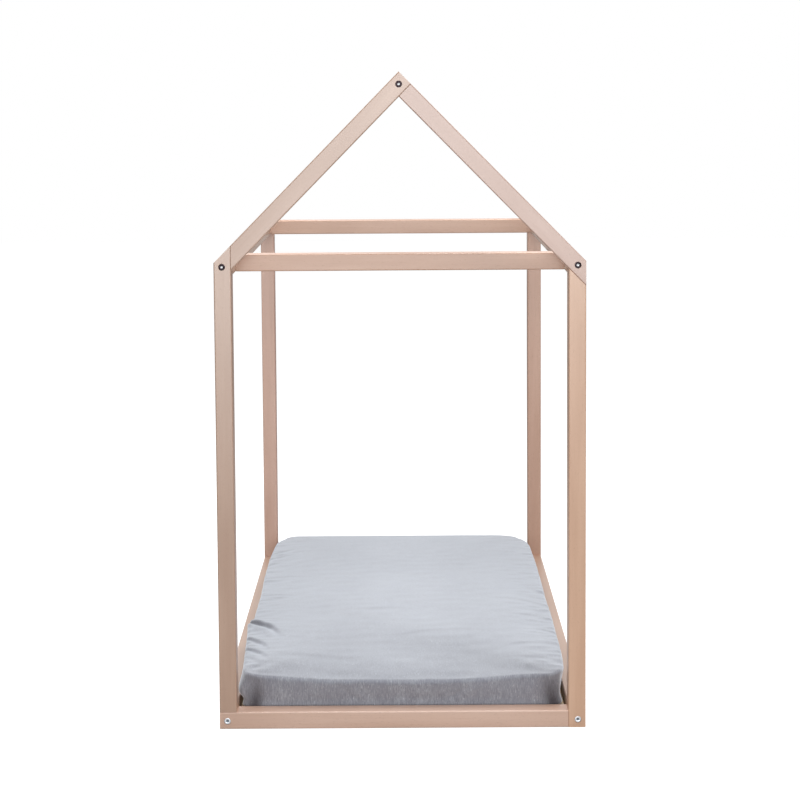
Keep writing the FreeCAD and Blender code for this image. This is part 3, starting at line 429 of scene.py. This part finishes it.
# Each bolt's second finish colours its socket floor: a painted highlight in the upper bolts,
# painted shade in the others.
for cad_name, shank, finishes in (("upper_bolts", 0.085, (dark_and_shaded_steel, painted_highlight_steel)),
                                  ("corner_bolts", 0.085, (zinc, painted_shade_socket_steel)),
                                  ("crossbar_bolts", 0.075, (zinc, painted_shade_socket_steel))):
    bolts = make_bolts(f"{cad_name}_detailed", bolt_places(cad_name), shank, finishes)
    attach(bolts, "frame")
    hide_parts(cad_name)


# ---------------------------------------------------------------- mattress and fitted sheet

# Corners seen from above, by side and end: a radius across the bed and one along it.
FOOT_CORNERS = {(-1, -1): (0.022, 0.022), (1, -1): (0.030, 0.030),
                (-1, 1): (0.030, 0.030), (1, 1): (0.030, 0.030)}
TOP_CORNERS = {(-1, -1): (0.055, 0.060), (1, -1): (0.062, 0.075),
               (-1, 1): (0.070, 0.130), (1, 1): (0.090, 0.150)}
FOOT_POWER = 2.0  # 2 is an ellipse's corner, more is squarer
TOP_POWER = 2.5
TOP_ROUND = 0.011  # radii of the edges, before a form is shrunk
FOOT_ROUND = 0.009
EDGE_STEPS = 5  # grid lines in a rounded edge
SIDE_DRAW = 0.003  # how far the middle of a side's foot is drawn in
# How far a side's upper edge stands out over its rail: shares of the half length, and reaches.
SIDE_BULGES = {-1: ([-1, -0.9, -0.72, -0.52, -0.42, -0.385,
                     -0.34, 0, 0.3, 0.6, 0.8, 1],
                    [0.004, 0.005, 0.010, 0.016, 0.020, 0.018,
                     0.010, 0.009, 0.013, 0.013, 0.009, 0]),
               1: ([-1, -0.8, -0.4, 0, 0.5, 0.8, 1],
                   [0.006, 0.011, 0.012, 0.010, 0.010, 0.006, 0])}
FRONT_BULGE = 0.013
FRONT_NARROW = 1.1  # the half width over the reach of the front's bulge
SIDE_HOLD = 4  # powers: how closely a bulge keeps to its edge or corner
CORNER_HOLD = 8
FRONT_HOLD = 16
CROWN = 0.006
FRONT_DROOP = 0.019  # how far the middle of the front edge sits below the rest of the top
DROOP_REACH = 0.42
DROOP_POWER = 1.3
DROOP_FADE = 0.75  # share of the droop that is gone at the sides
RIGHT_DROOP = 0.002  # how much further the front right corner sits down
CORNER_HANG = 0.012  # how far the front left corner hangs out over its rail, below the top
CORNER_REACH = 0.11
RAIL_CLEAR = 0.052  # below this height the sheet keeps clear of the side rails
TUCK = 0.09
# Spacing of the sheet's mesh before it is divided once: shares of the half size, and lengths.
ACROSS = ([-1, -0.78, -0.65, 0.65, 0.78, 1],
          [0.0066, 0.0066, 0.0125, 0.0125, 0.0066, 0.0066])
ALONG_BED = ([-1, -0.3, -0.1, 1], [0.0066, 0.0066, 0.0125, 0.0125])
DOWN = 0.0064
PUFF = 0.003  # how far the simulated cloth may swell
FRONT_LIMIT = 0.0195  # how far the finished sheet may stand past the solid's front and back
REAR_LIMIT = 0.006
# The foam's form, inside the sheet's.
FOAM_STEP = 0.02
FOAM_SPACING = ([-1, 1], [FOAM_STEP, FOAM_STEP])
FOAM_SHRINK = 0.008
FOAM_SCALE = 0.985  # across and along, after it is shrunk


SAMPLES = 2001  # places at which a spacing is added up


def ramp(value, start, length):
    """From 0 at the start to 1 after a length."""
    return np.clip((value - start) / length, 0, 1)


def grid_lines(half, spacing, edge_round):
    """Places of grid lines over a length, closer where the edge is rounded."""
    near = np.array([edge_round * (1 - math.cos(math.pi / 2 * step / EDGE_STEPS))
                     for step in range(EDGE_STEPS)])
    dense = np.linspace(edge_round - half, half - edge_round, SAMPLES)
    wanted = np.interp(dense / half, *spacing)
    count = np.concatenate([[0], np.cumsum(np.diff(dense) / wanted[1:])])
    even = np.linspace(0, count[-1], max(3, round(count[-1]) + 1))
    inner = np.interp(even, count, dense)
    return np.concatenate([near - half, inner, (half - near)[::-1]])


def rounded_plan(x, y, half_x, half_y, shrink, at_top):
    """Bring a rectangle's grid to rounded corners and curved sides, as at the top or the foot."""
    corners, power = (TOP_CORNERS, TOP_POWER) if at_top else (FOOT_CORNERS, FOOT_POWER)
    new_x = x.copy()
    new_y = y.copy()
    for (side, end), (radius_x, radius_y) in corners.items():
        past_x = (side * x - (half_x - radius_x + shrink)) / (radius_x - shrink)
        past_y = (end * y - (half_y - radius_y + shrink)) / (radius_y - shrink)
        inside = (past_x > 0) & (past_y > 0)
        past_x = np.clip(past_x, 0, None)
        past_y = np.clip(past_y, 0, None)
        away = (past_x ** power + past_y ** power) ** (1 / power)
        scale = np.maximum(past_x, past_y) / np.maximum(away, 1e-9)
        across = half_x - (radius_x - shrink) * (1 - past_x * scale)
        along = half_y - (radius_y - shrink) * (1 - past_y * scale)
        new_x = np.where(inside, side * across, new_x)
        new_y = np.where(inside, end * along, new_y)
    for side in (-1, 1):
        outwards = np.clip(side * x / half_x, 0, 1) ** SIDE_HOLD
        if at_top:
            new_x += side * outwards * np.interp(y / half_y, *SIDE_BULGES[side])
        else:
            new_x -= side * outwards * SIDE_DRAW * (1 - (y / half_y) ** 2)
    if at_top:
        forwards = np.clip(-y / half_y, 0, 1) ** FRONT_HOLD
        new_y -= FRONT_BULGE * forwards * np.clip(1 - (FRONT_NARROW * x / half_x) ** 2, 0, 1)
    return new_x, new_y


def rounding(inset, radius):
    """How far a rounded edge falls away at a distance from the rim."""
    return radius - np.sqrt(np.maximum(radius ** 2 - np.maximum(radius - inset, 0) ** 2, 0))


def quads(*corners):
    """Four-sided faces from four arrays of point numbers."""
    return np.stack(corners, -1).reshape(-1, 4)


def side_row(upper, lower, height, half_x, half_y):
    """One row of the sides: between the upper and the lower outline, clear of the rails."""
    row = np.empty_like(upper)
    row[:, 2] = height
    clear = np.clip((height - RAIL_CLEAR) / (upper[:, 2] - RAIL_CLEAR), 0, 1)[:, None]
    row[:, :2] = upper[:, :2] * clear + lower * (1 - clear)
    at_corner = np.exp(-((row[:, 1] + half_y) / CORNER_REACH) ** 2)
    at_corner *= np.clip(-row[:, 0] / half_x, 0, 1) ** CORNER_HOLD
    row[:, 0] -= CORNER_HANG * at_corner * np.sin(math.pi * np.sqrt(clear[:, 0]))
    return row


def mattress_form(low, high, across, along, down, shrink, tuck):
    """Points and faces of the mattress's form: top, sides and a tucked or closed underside."""
    half_x = high.x - shrink
    half_y = high.y - shrink
    top_round = TOP_ROUND - shrink
    foot_round = FOOT_ROUND - shrink
    base = low.z + shrink
    edge_top = high.z - CROWN - shrink
    grid_x, grid_y = np.meshgrid(grid_lines(half_x, across, top_round),
                                 grid_lines(half_y, along, top_round), indexing="ij")
    inset = np.minimum(half_x - np.abs(grid_x), half_y - np.abs(grid_y))
    x, y = rounded_plan(grid_x, grid_y, half_x, half_y, shrink, True)
    low_x, low_y = rounded_plan(grid_x, grid_y, half_x, half_y, shrink, False)

    share = np.clip((inset - top_round) / (half_x - top_round), 0, 1)
    top = edge_top + CROWN * (1 - (1 - share) ** 2)
    front = np.clip((DROOP_REACH - (y + half_y)) / DROOP_REACH, 0, 1)
    top -= FRONT_DROOP * front ** DROOP_POWER * (1 - DROOP_FADE * (x / half_x) ** 2)
    away = np.hypot(grid_x - half_x, grid_y + half_y) / CORNER_REACH
    top -= RIGHT_DROOP * np.clip(1 - away ** 2, 0, 1) ** 2
    points = [np.stack([x, y, top - rounding(inset, top_round)], -1).reshape(-1, 3)]
    index = np.arange(x.size).reshape(x.shape)
    faces = [quads(index[:-1, :-1], index[1:, :-1], index[1:, 1:], index[:-1, 1:])]

    rim = np.concatenate([index[:-1, 0], index[-1, :-1], index[:0:-1, -1], index[0, :0:-1]])
    upper = points[0][rim]
    lower = np.stack([low_x.reshape(-1)[rim], low_y.reshape(-1)[rim]], -1)
    foot = base + foot_round
    side_rows = max(3, round((edge_top - top_round - foot) / down))
    last = rim
    total = x.size
    for step in range(1, side_rows + 1):
        share_down = step / side_rows
        height = upper[:, 2] * (1 - share_down) + foot * share_down
        points.append(side_row(upper, lower, height, half_x, half_y))
        new = np.arange(total, total + len(rim))
        faces.append(quads(new, np.roll(new, -1), np.roll(last, -1), last))
        last = new
        total += len(rim)

    under = np.full(x.size, -1)
    under[rim] = last
    kept = np.ones(x.size, bool) if tuck is None else inset.reshape(-1) <= tuck + 1e-6
    fresh = kept & (under < 0)
    under[fresh] = np.arange(total, total + fresh.sum())
    below = np.stack([low_x, low_y, base + rounding(inset, foot_round)], -1).reshape(-1, 3)
    points.append(below[fresh])
    under = under.reshape(x.shape)
    underside = quads(under[:-1, :-1], under[:-1, 1:], under[1:, 1:], under[1:, :-1])
    faces.append(underside[(underside >= 0).all(1)])
    return np.concatenate(points), np.concatenate(faces)


def wave_field(x, y, waves, seed, longest, shortest, stretch=1.0):
    """A smooth random field of unit size, a sum of waves in seeded directions."""
    chance = np.random.default_rng(seed)
    total = np.zeros_like(x)
    for _ in range(waves):
        length = shortest * (longest / shortest) ** chance.random()
        turn = chance.random() * math.pi
        phase = chance.random() * 2 * math.pi
        total += np.sin(2 * math.pi / length * (stretch * x * math.cos(turn)
                                                + y * math.sin(turn)) + phase)
    return total / math.sqrt(waves / 2)


# Folds in the top: start and end, seen from above, then height and width.
FOLDS = [
    ((-0.372, -0.258), (-0.280, -0.420), 0.0110, 0.0085),
    ((-0.366, -0.400), (-0.300, -0.540), 0.0060, 0.0085),
    ((-0.364, -0.490), (-0.295, -0.610), 0.0048, 0.0075),
    ((-0.356, -0.560), (-0.312, -0.640), 0.0016, 0.0070),
    ((-0.362, 0.436), (-0.290, 0.505), 0.0024, 0.0080),
    ((-0.362, 0.375), (-0.290, 0.435), 0.0018, 0.0080),
    ((-0.358, 0.320), (-0.300, 0.355), 0.0012, 0.0080),
    ((-0.345, 0.165), (-0.215, 0.150), 0.0010, 0.0090),
    ((-0.360, -0.012), (-0.262, -0.045), 0.0022, 0.0070),
    ((-0.350, -0.065), (-0.300, -0.080), 0.0016, 0.0060),
    ((0.362, -0.020), (0.300, 0.055), 0.0022, 0.0120),
    ((0.362, -0.140), (0.200, -0.060), 0.0016, 0.0120),
    ((0.362, -0.270), (0.240, -0.220), 0.0013, 0.0120),
    ((0.362, -0.385), (0.300, -0.345), 0.0020, 0.0090),
    ((0.362, -0.480), (0.220, -0.500), 0.0014, 0.0140),
    ((0.340, -0.600), (0.200, -0.585), 0.0012, 0.0180),
    ((-0.230, -0.560), (-0.080, -0.600), 0.0010, 0.0240),
    ((0.020, -0.400), (0.190, -0.380), 0.0009, 0.0200),
    ((-0.060, -0.180), (0.060, -0.200), 0.0008, 0.0200),
]
FOLD_BOW = 0.10  # how far a fold bows out, as a share of its length
FOLD_START = 0.03  # over what length it rises before its start
FOLD_FADE = (2.5, 1.3)  # powers with which it fades to its end
# Shares of the height and, in fold widths, how steep a step is and how far things reach.
STEP_SHARE = 0.55
STEP_SLOPE = 2.2
STEP_REACH = 2.6
SWELL_SHARE = 0.7
SWELL_PLACE = -2.6
SWELL_REACH = 1.5
CREASE_REACH = 0.42
DARK_FOLD = 0.011  # a fold of this height gets the darkest painted shade along its fold line


def fold_place(x, y, start, end, width):
    """How far points are across a fold, in its widths, and how strong it is beside them."""
    start_x, start_y = start
    along_x = end[0] - start_x
    along_y = end[1] - start_y
    length = math.hypot(along_x, along_y)
    along_x /= length
    along_y /= length
    along = (x - start_x) * along_x + (y - start_y) * along_y
    across = (-(x - start_x) * along_y + (y - start_y) * along_x) * (1 if along_x > 0 else -1)
    across = across - FOLD_BOW * length * np.sin(math.pi * np.clip(along / length, -1, 2))
    share = np.clip(along / length, 0, 1)
    strength = np.where(along < 0, np.exp(-(along / FOLD_START) ** 2),
                        (1 - share ** FOLD_FADE[0]) ** FOLD_FADE[1])
    return across / width, strength


def fold_height(x, y, start, end, height, width):
    """One fold: a step down to the front, with a swell in front of it."""
    across, strength = fold_place(x, y, start, end, width)
    step = np.tanh(STEP_SLOPE * across) * np.exp(-(across / STEP_REACH) ** 2)
    bulge = np.exp(-((across - SWELL_PLACE) / SWELL_REACH) ** 2)
    return height * strength * (STEP_SHARE * step + SWELL_SHARE * bulge)


def painted_fold_shade(x, y, start, end, height, width):
    """How much painted shade a fold gets along its fold line."""
    across, strength = fold_place(x, y, start, end, width)
    return min(height / DARK_FOLD, 1) * strength * np.exp(-(across / CREASE_REACH) ** 2)


# Upright pleats and grooves in the sides: a point on the rim, how far the foot leans, how far
# the pleat stands out and its width.
PLEATS = [
    ((-0.319, -0.70), -0.004, -0.0110, 0.019),
    ((0.324, -0.70), 0.006, -0.0120, 0.018),
    ((-0.118, -0.70), 0.050, 0.0032, 0.009),
    ((-0.138, -0.70), 0.050, -0.0028, 0.008),
    ((0.172, -0.70), -0.070, 0.0036, 0.009),
    ((0.150, -0.70), -0.070, -0.0030, 0.009),
    ((0.215, -0.70), -0.020, 0.0014, 0.012),
    ((-0.200, -0.70), 0.020, 0.0012, 0.014),
    ((-0.350, -0.62), 0.010, -0.0025, 0.012),
    ((0.350, -0.62), 0.010, -0.0025, 0.012),
    ((-0.350, 0.62), 0.010, -0.0025, 0.012),
    ((0.350, 0.62), 0.010, -0.0025, 0.012),
    ((-0.315, 0.70), 0.006, -0.0040, 0.013),
    ((0.315, 0.70), -0.006, -0.0040, 0.013),
]
END_HALF = 0.34  # a pleat nearer to the bed's middle line than this is in an end's face
PLEAT_BAND = 0.05  # how far from its face a pleat moves points
PLEAT_AT_RIM = 0.25  # share of its depth


def pleat_depth(x, y, low, rim, lean, depth, width):
    """How far a pleat pushes the side outwards, growing from the rim to the foot."""
    rim_x, rim_y = rim
    on_end = abs(rim_x) < END_HALF
    run, across = (x, y - rim_y) if on_end else (y, x - rim_x)
    start = rim_x if on_end else rim_y
    gap = (run - start - lean * low) / width
    grown = depth * (PLEAT_AT_RIM + (1 - PLEAT_AT_RIM) * low)
    return np.where(np.abs(across) < PLEAT_BAND, grown * np.exp(-gap ** 2), 0.0)


# Soft waves: a height, then what wave_field takes.
WIDE_WAVES = (0.00078, {"waves": 14, "seed": 5, "longest": 0.34, "shortest": 0.12})
FINE_WAVES = (0.000169, {"waves": 18, "seed": 9, "longest": 0.07, "shortest": 0.035,
                         "stretch": 0.5})
SIDE_RIPPLES = (0.00052, {"waves": 16, "seed": 3, "longest": 0.05, "shortest": 0.022,
                          "stretch": 0.35})
HANGING_WAVES = (0.0009, {"waves": 16, "seed": 21, "longest": 0.12, "shortest": 0.035})
RIPPLE_START = 0.20  # from here the ripples grow towards a side
RIPPLE_BAND = 0.15
CALM_END = 0.66  # towards here, at the rear, the waves calm down
CALM_BAND = 0.3
CALM_LEAST = 0.15
LOWEST_LIFT = -0.0045  # keeps the top off the foam
FOLD_HANG = 0.35  # share of a top's fold that runs on down the side, and its limits
FOLD_HANG_LIMITS = (-0.003, 0.004)
RIM_BAND = 0.06  # how near the rim points move outwards
TOP_FADE = 0.02  # over what height the top's folds end below its edge
SIDE_FADE = 0.015  # over what height the sides' folds end above their edge
LIFT_BAND = 0.03  # over what height above the underside the moves grow
FOOT_STILL = 0.004
FOOT_BAND = 0.02
# Painted shade in the creases and grooves: its weight for the top's folds, the groove depths over
# which it grows, and its most.
CREASE_SHADE_WEIGHT = 0.8
GROOVE_LEAST = 0.008  # a groove deeper than this gets painted shade
GROOVE_FULL = 0.010  # one of this depth gets the most painted shade
DARKEST_PAINTED_SHADE = 0.85


def waves(x, y, height, field):
    """Waves of a height."""
    return height * wave_field(x, y, **field)


def wrinkle(points, top_of_sides):
    """The sheet's points moved into soft folds, and the painted shade at each, in the folds'
    creases and the deep grooves.
    """
    x, y, z = points.T
    half_x = np.abs(x).max()
    half_y = np.abs(y).max()
    base = z.min()
    on_top = ramp(z, top_of_sides - TOP_FADE, TOP_FADE)
    on_side = 1 - ramp(z, top_of_sides, SIDE_FADE)
    low = 1 - ramp(z, base, top_of_sides - base)

    folds = sum(fold_height(x, y, *fold) for fold in FOLDS)
    calm = np.clip((CALM_END - y) / CALM_BAND, CALM_LEAST, 1)
    near_side = ramp(np.abs(x), RIPPLE_START, RIPPLE_BAND) ** 2
    soft = calm * (waves(x, y, *WIDE_WAVES) + waves(x, y, *FINE_WAVES))
    soft += near_side * waves(x, y, *SIDE_RIPPLES)
    lift = on_top * ramp(z, base, LIFT_BAND) * np.maximum(folds + soft, LOWEST_LIFT)

    outward_x = np.sign(x) * ramp(np.abs(x), half_x - RIM_BAND, RIM_BAND)
    outward_y = np.sign(y) * ramp(np.abs(y), half_y - RIM_BAND, RIM_BAND)
    outward = np.maximum(np.hypot(outward_x, outward_y), 1e-6)
    hang = waves(x, y, *HANGING_WAVES) + FOLD_HANG * np.clip(folds, *FOLD_HANG_LIMITS)
    pleats = sum(pleat_depth(x, y, low, *pleat) for pleat in PLEATS)
    push = on_side * (hang * np.minimum(outward, 1) + pleats)
    push *= ramp(z, base + FOOT_STILL, FOOT_BAND)
    move = np.stack([push * outward_x / outward, push * outward_y / outward, lift], -1)

    # Painted shade: the creases of the top's folds and the deep pleat grooves are darkened in the
    # colour, not shaded by the mesh.
    painted_shades = on_top * sum(painted_fold_shade(x, y, *fold) for fold in FOLDS)
    grooves = -sum(pleat_depth(x, y, low, *pleat) for pleat in PLEATS
                   if -pleat[2] > GROOVE_LEAST)
    dark = CREASE_SHADE_WEIGHT * painted_shades + on_side * DARKEST_PAINTED_SHADE * ramp(grooves, 0, GROOVE_FULL)
    return points + move, np.clip(dark, 0, DARKEST_PAINTED_SHADE)


PRESSURE = 4
QUALITY = 4  # steps in a frame
MOMENTS = 20  # frames of the simulation


def get_points(mesh):
    """A mesh's points, a row each."""
    points = np.empty(len(mesh.vertices) * 3)
    mesh.vertices.foreach_get("co", points)
    return points.reshape(-1, 3)


def set_points(mesh, points):
    """Give a mesh's points new places."""
    mesh.vertices.foreach_set("co", points.reshape(-1))
    mesh.update()


def soft_object(name, points, faces, material):
    """A smooth mesh object."""
    mesh = bpy.data.meshes.new(name)
    mesh.from_pydata(points.tolist(), [], faces.tolist())
    mesh.shade_smooth()
    mesh.materials.append(material)
    piece = bpy.data.objects.new(name, mesh)
    scene.collection.objects.link(piece)
    return piece


def swell(piece, held, cap):
    """Blow a form up a little as cloth, held at some points, and keep each near its start."""
    start = get_points(piece.data)
    group = piece.vertex_groups.new(name="held")
    group.add([int(index) for index in held], 1.0, "REPLACE")
    modifier = piece.modifiers.new("cloth", "CLOTH")
    settings = modifier.settings
    settings.quality = QUALITY
    settings.use_pressure = True
    settings.uniform_pressure_force = PRESSURE
    settings.effector_weights.gravity = 0
    settings.vertex_group_mass = "held"
    modifier.collision_settings.use_collision = False
    for moment in range(1, MOMENTS + 1):
        scene.frame_set(moment)
    grown = piece.evaluated_get(bpy.context.evaluated_depsgraph_get())
    move = get_points(grown.data) - start
    piece.modifiers.remove(modifier)
    piece.vertex_groups.remove(group)
    scene.frame_set(1)
    length = np.maximum(np.linalg.norm(move, axis=1, keepdims=True), 1e-9)
    set_points(piece.data, start + move * (cap * np.tanh(length / cap) / length))


def divide(piece):
    """One subdivision, applied."""
    piece.modifiers.new("finer", "SUBSURF").levels = 1
    grown = piece.evaluated_get(bpy.context.evaluated_depsgraph_get())
    mesh = bpy.data.meshes.new_from_object(grown)
    piece.modifiers.clear()
    piece.data = mesh
    mesh.shade_smooth()


sheet_low, sheet_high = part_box("fitted_sheet")
points, faces = mattress_form(sheet_low, sheet_high, ACROSS, ALONG_BED, DOWN, PUFF, TUCK)
sheet = soft_object("stretched_sheet", points, faces, sheet_fabric)
resting = points[:, 2] < sheet_low.z + PUFF + FOOT_ROUND
swell(sheet, np.nonzero(resting)[0], PUFF)
divide(sheet)
points, painted_shades = wrinkle(get_points(sheet.data),
                          sheet_high.z - CROWN - FRONT_DROOP - TOP_ROUND)
points[:, 1] = np.clip(points[:, 1], sheet_low.y - FRONT_LIMIT, sheet_high.y + REAR_LIMIT)
# The painted shade goes to the sheet as a point attribute, which darkens the jersey's colour.
sheet.data.attributes.new("painted_crease_shade", "FLOAT", "POINT").data.foreach_set("value", painted_shades)
set_points(sheet.data, points)
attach(sheet, "mattress")
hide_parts("fitted_sheet")

points, faces = mattress_form(sheet_low, sheet_high, FOAM_SPACING, FOAM_SPACING, FOAM_STEP,
                              FOAM_SHRINK, None)
points[:, :2] *= FOAM_SCALE
foam = soft_object("foam_mattress", points, faces, ticking)
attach(foam, "mattress")
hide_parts("mattress_core")


# ---------------------------------------------------------------- floor, world and lamps

FLOOR_REACH = 14
FLOOR_DROP = 0.0002
FLOOR_COLOUR = 0.5
FLOOR_GLOW = 0.85  # for the camera alone
WORLD_LIGHT = 0.32
# Soft boxes: name, place, what they point at, width, height and power.
LAMPS = [("front_light", (-0.1, -6.2, 1.35), (0.0, 0.0, 1.0), 2.2, 2.0, 118),
         ("top_light", (0.0, 0.35, 3.3), (0.0, 0.3, 0.1), 2.2, 2.8, 101),
         ("key_light", (2.2, -2.2, 1.5), (0.3, -0.7, 0.5), 0.9, 1.4, 17)]


def make_floor():
    """A white floor that keeps the bed's shadow."""
    mesh = bmesh.new()
    bmesh.ops.create_grid(mesh, x_segments=1, y_segments=1, size=FLOOR_REACH)
    data = bpy.data.meshes.new("floor")
    mesh.to_mesh(data)
    mesh.free()
    floor = bpy.data.objects.new("floor", data)
    floor.location = (0, 0, -FLOOR_DROP)
    scene.collection.objects.link(floor)
    material = bpy.data.materials.new("studio_floor")
    tree = Nodes(material)
    seen = tree.add("ShaderNodeLightPath").outputs["Is Camera Ray"]
    paint = tree.add("ShaderNodeBsdfDiffuse", {"Color": (*[FLOOR_COLOUR] * 3, 1)})
    glow = tree.add("ShaderNodeEmission", {
        "Color": (1, 1, 1, 1), "Strength": tree.math("MULTIPLY", seen, FLOOR_GLOW)})
    both = tree.add("ShaderNodeAddShader", {0: paint.outputs[0], 1: glow.outputs[0]})
    tree.output(both.outputs[0])
    data.materials.append(material)


def background_rays(tree):
    """1 for rays that show the background: from the camera, a gloss or a clear piece."""
    path = tree.add("ShaderNodeLightPath").outputs
    shown = tree.math("MAXIMUM", path["Is Camera Ray"], path["Is Glossy Ray"])
    return tree.math("MAXIMUM", shown, path["Is Transmission Ray"])


def make_world(strength):
    """White to look at, softer as a light."""
    world = bpy.data.worlds.new("studio")
    scene.world = world
    tree = Nodes(world)
    level = tree.stretch(background_rays(tree), 0.0, 1.0, strength, 1.0)
    light = tree.add("ShaderNodeBackground", {"Color": (1, 1, 1, 1), "Strength": level})
    tree.output(light.outputs[0], "ShaderNodeOutputWorld")


def make_lamp(name, place, target, width, height, power):
    """A soft box."""
    data = bpy.data.lights.new(name, "AREA")
    data.shape = "RECTANGLE"
    data.size = width
    data.size_y = height
    data.energy = power
    lamp = bpy.data.objects.new(name, data)
    lamp.location = place
    way = Vector(target) - Vector(place)
    lamp.rotation_euler = way.to_track_quat("-Z", "Y").to_euler()
    scene.collection.objects.link(lamp)


make_floor()
make_world(WORLD_LIGHT)
for lamp in LAMPS:
    make_lamp(*lamp)

scene.view_settings.view_transform = "Standard"
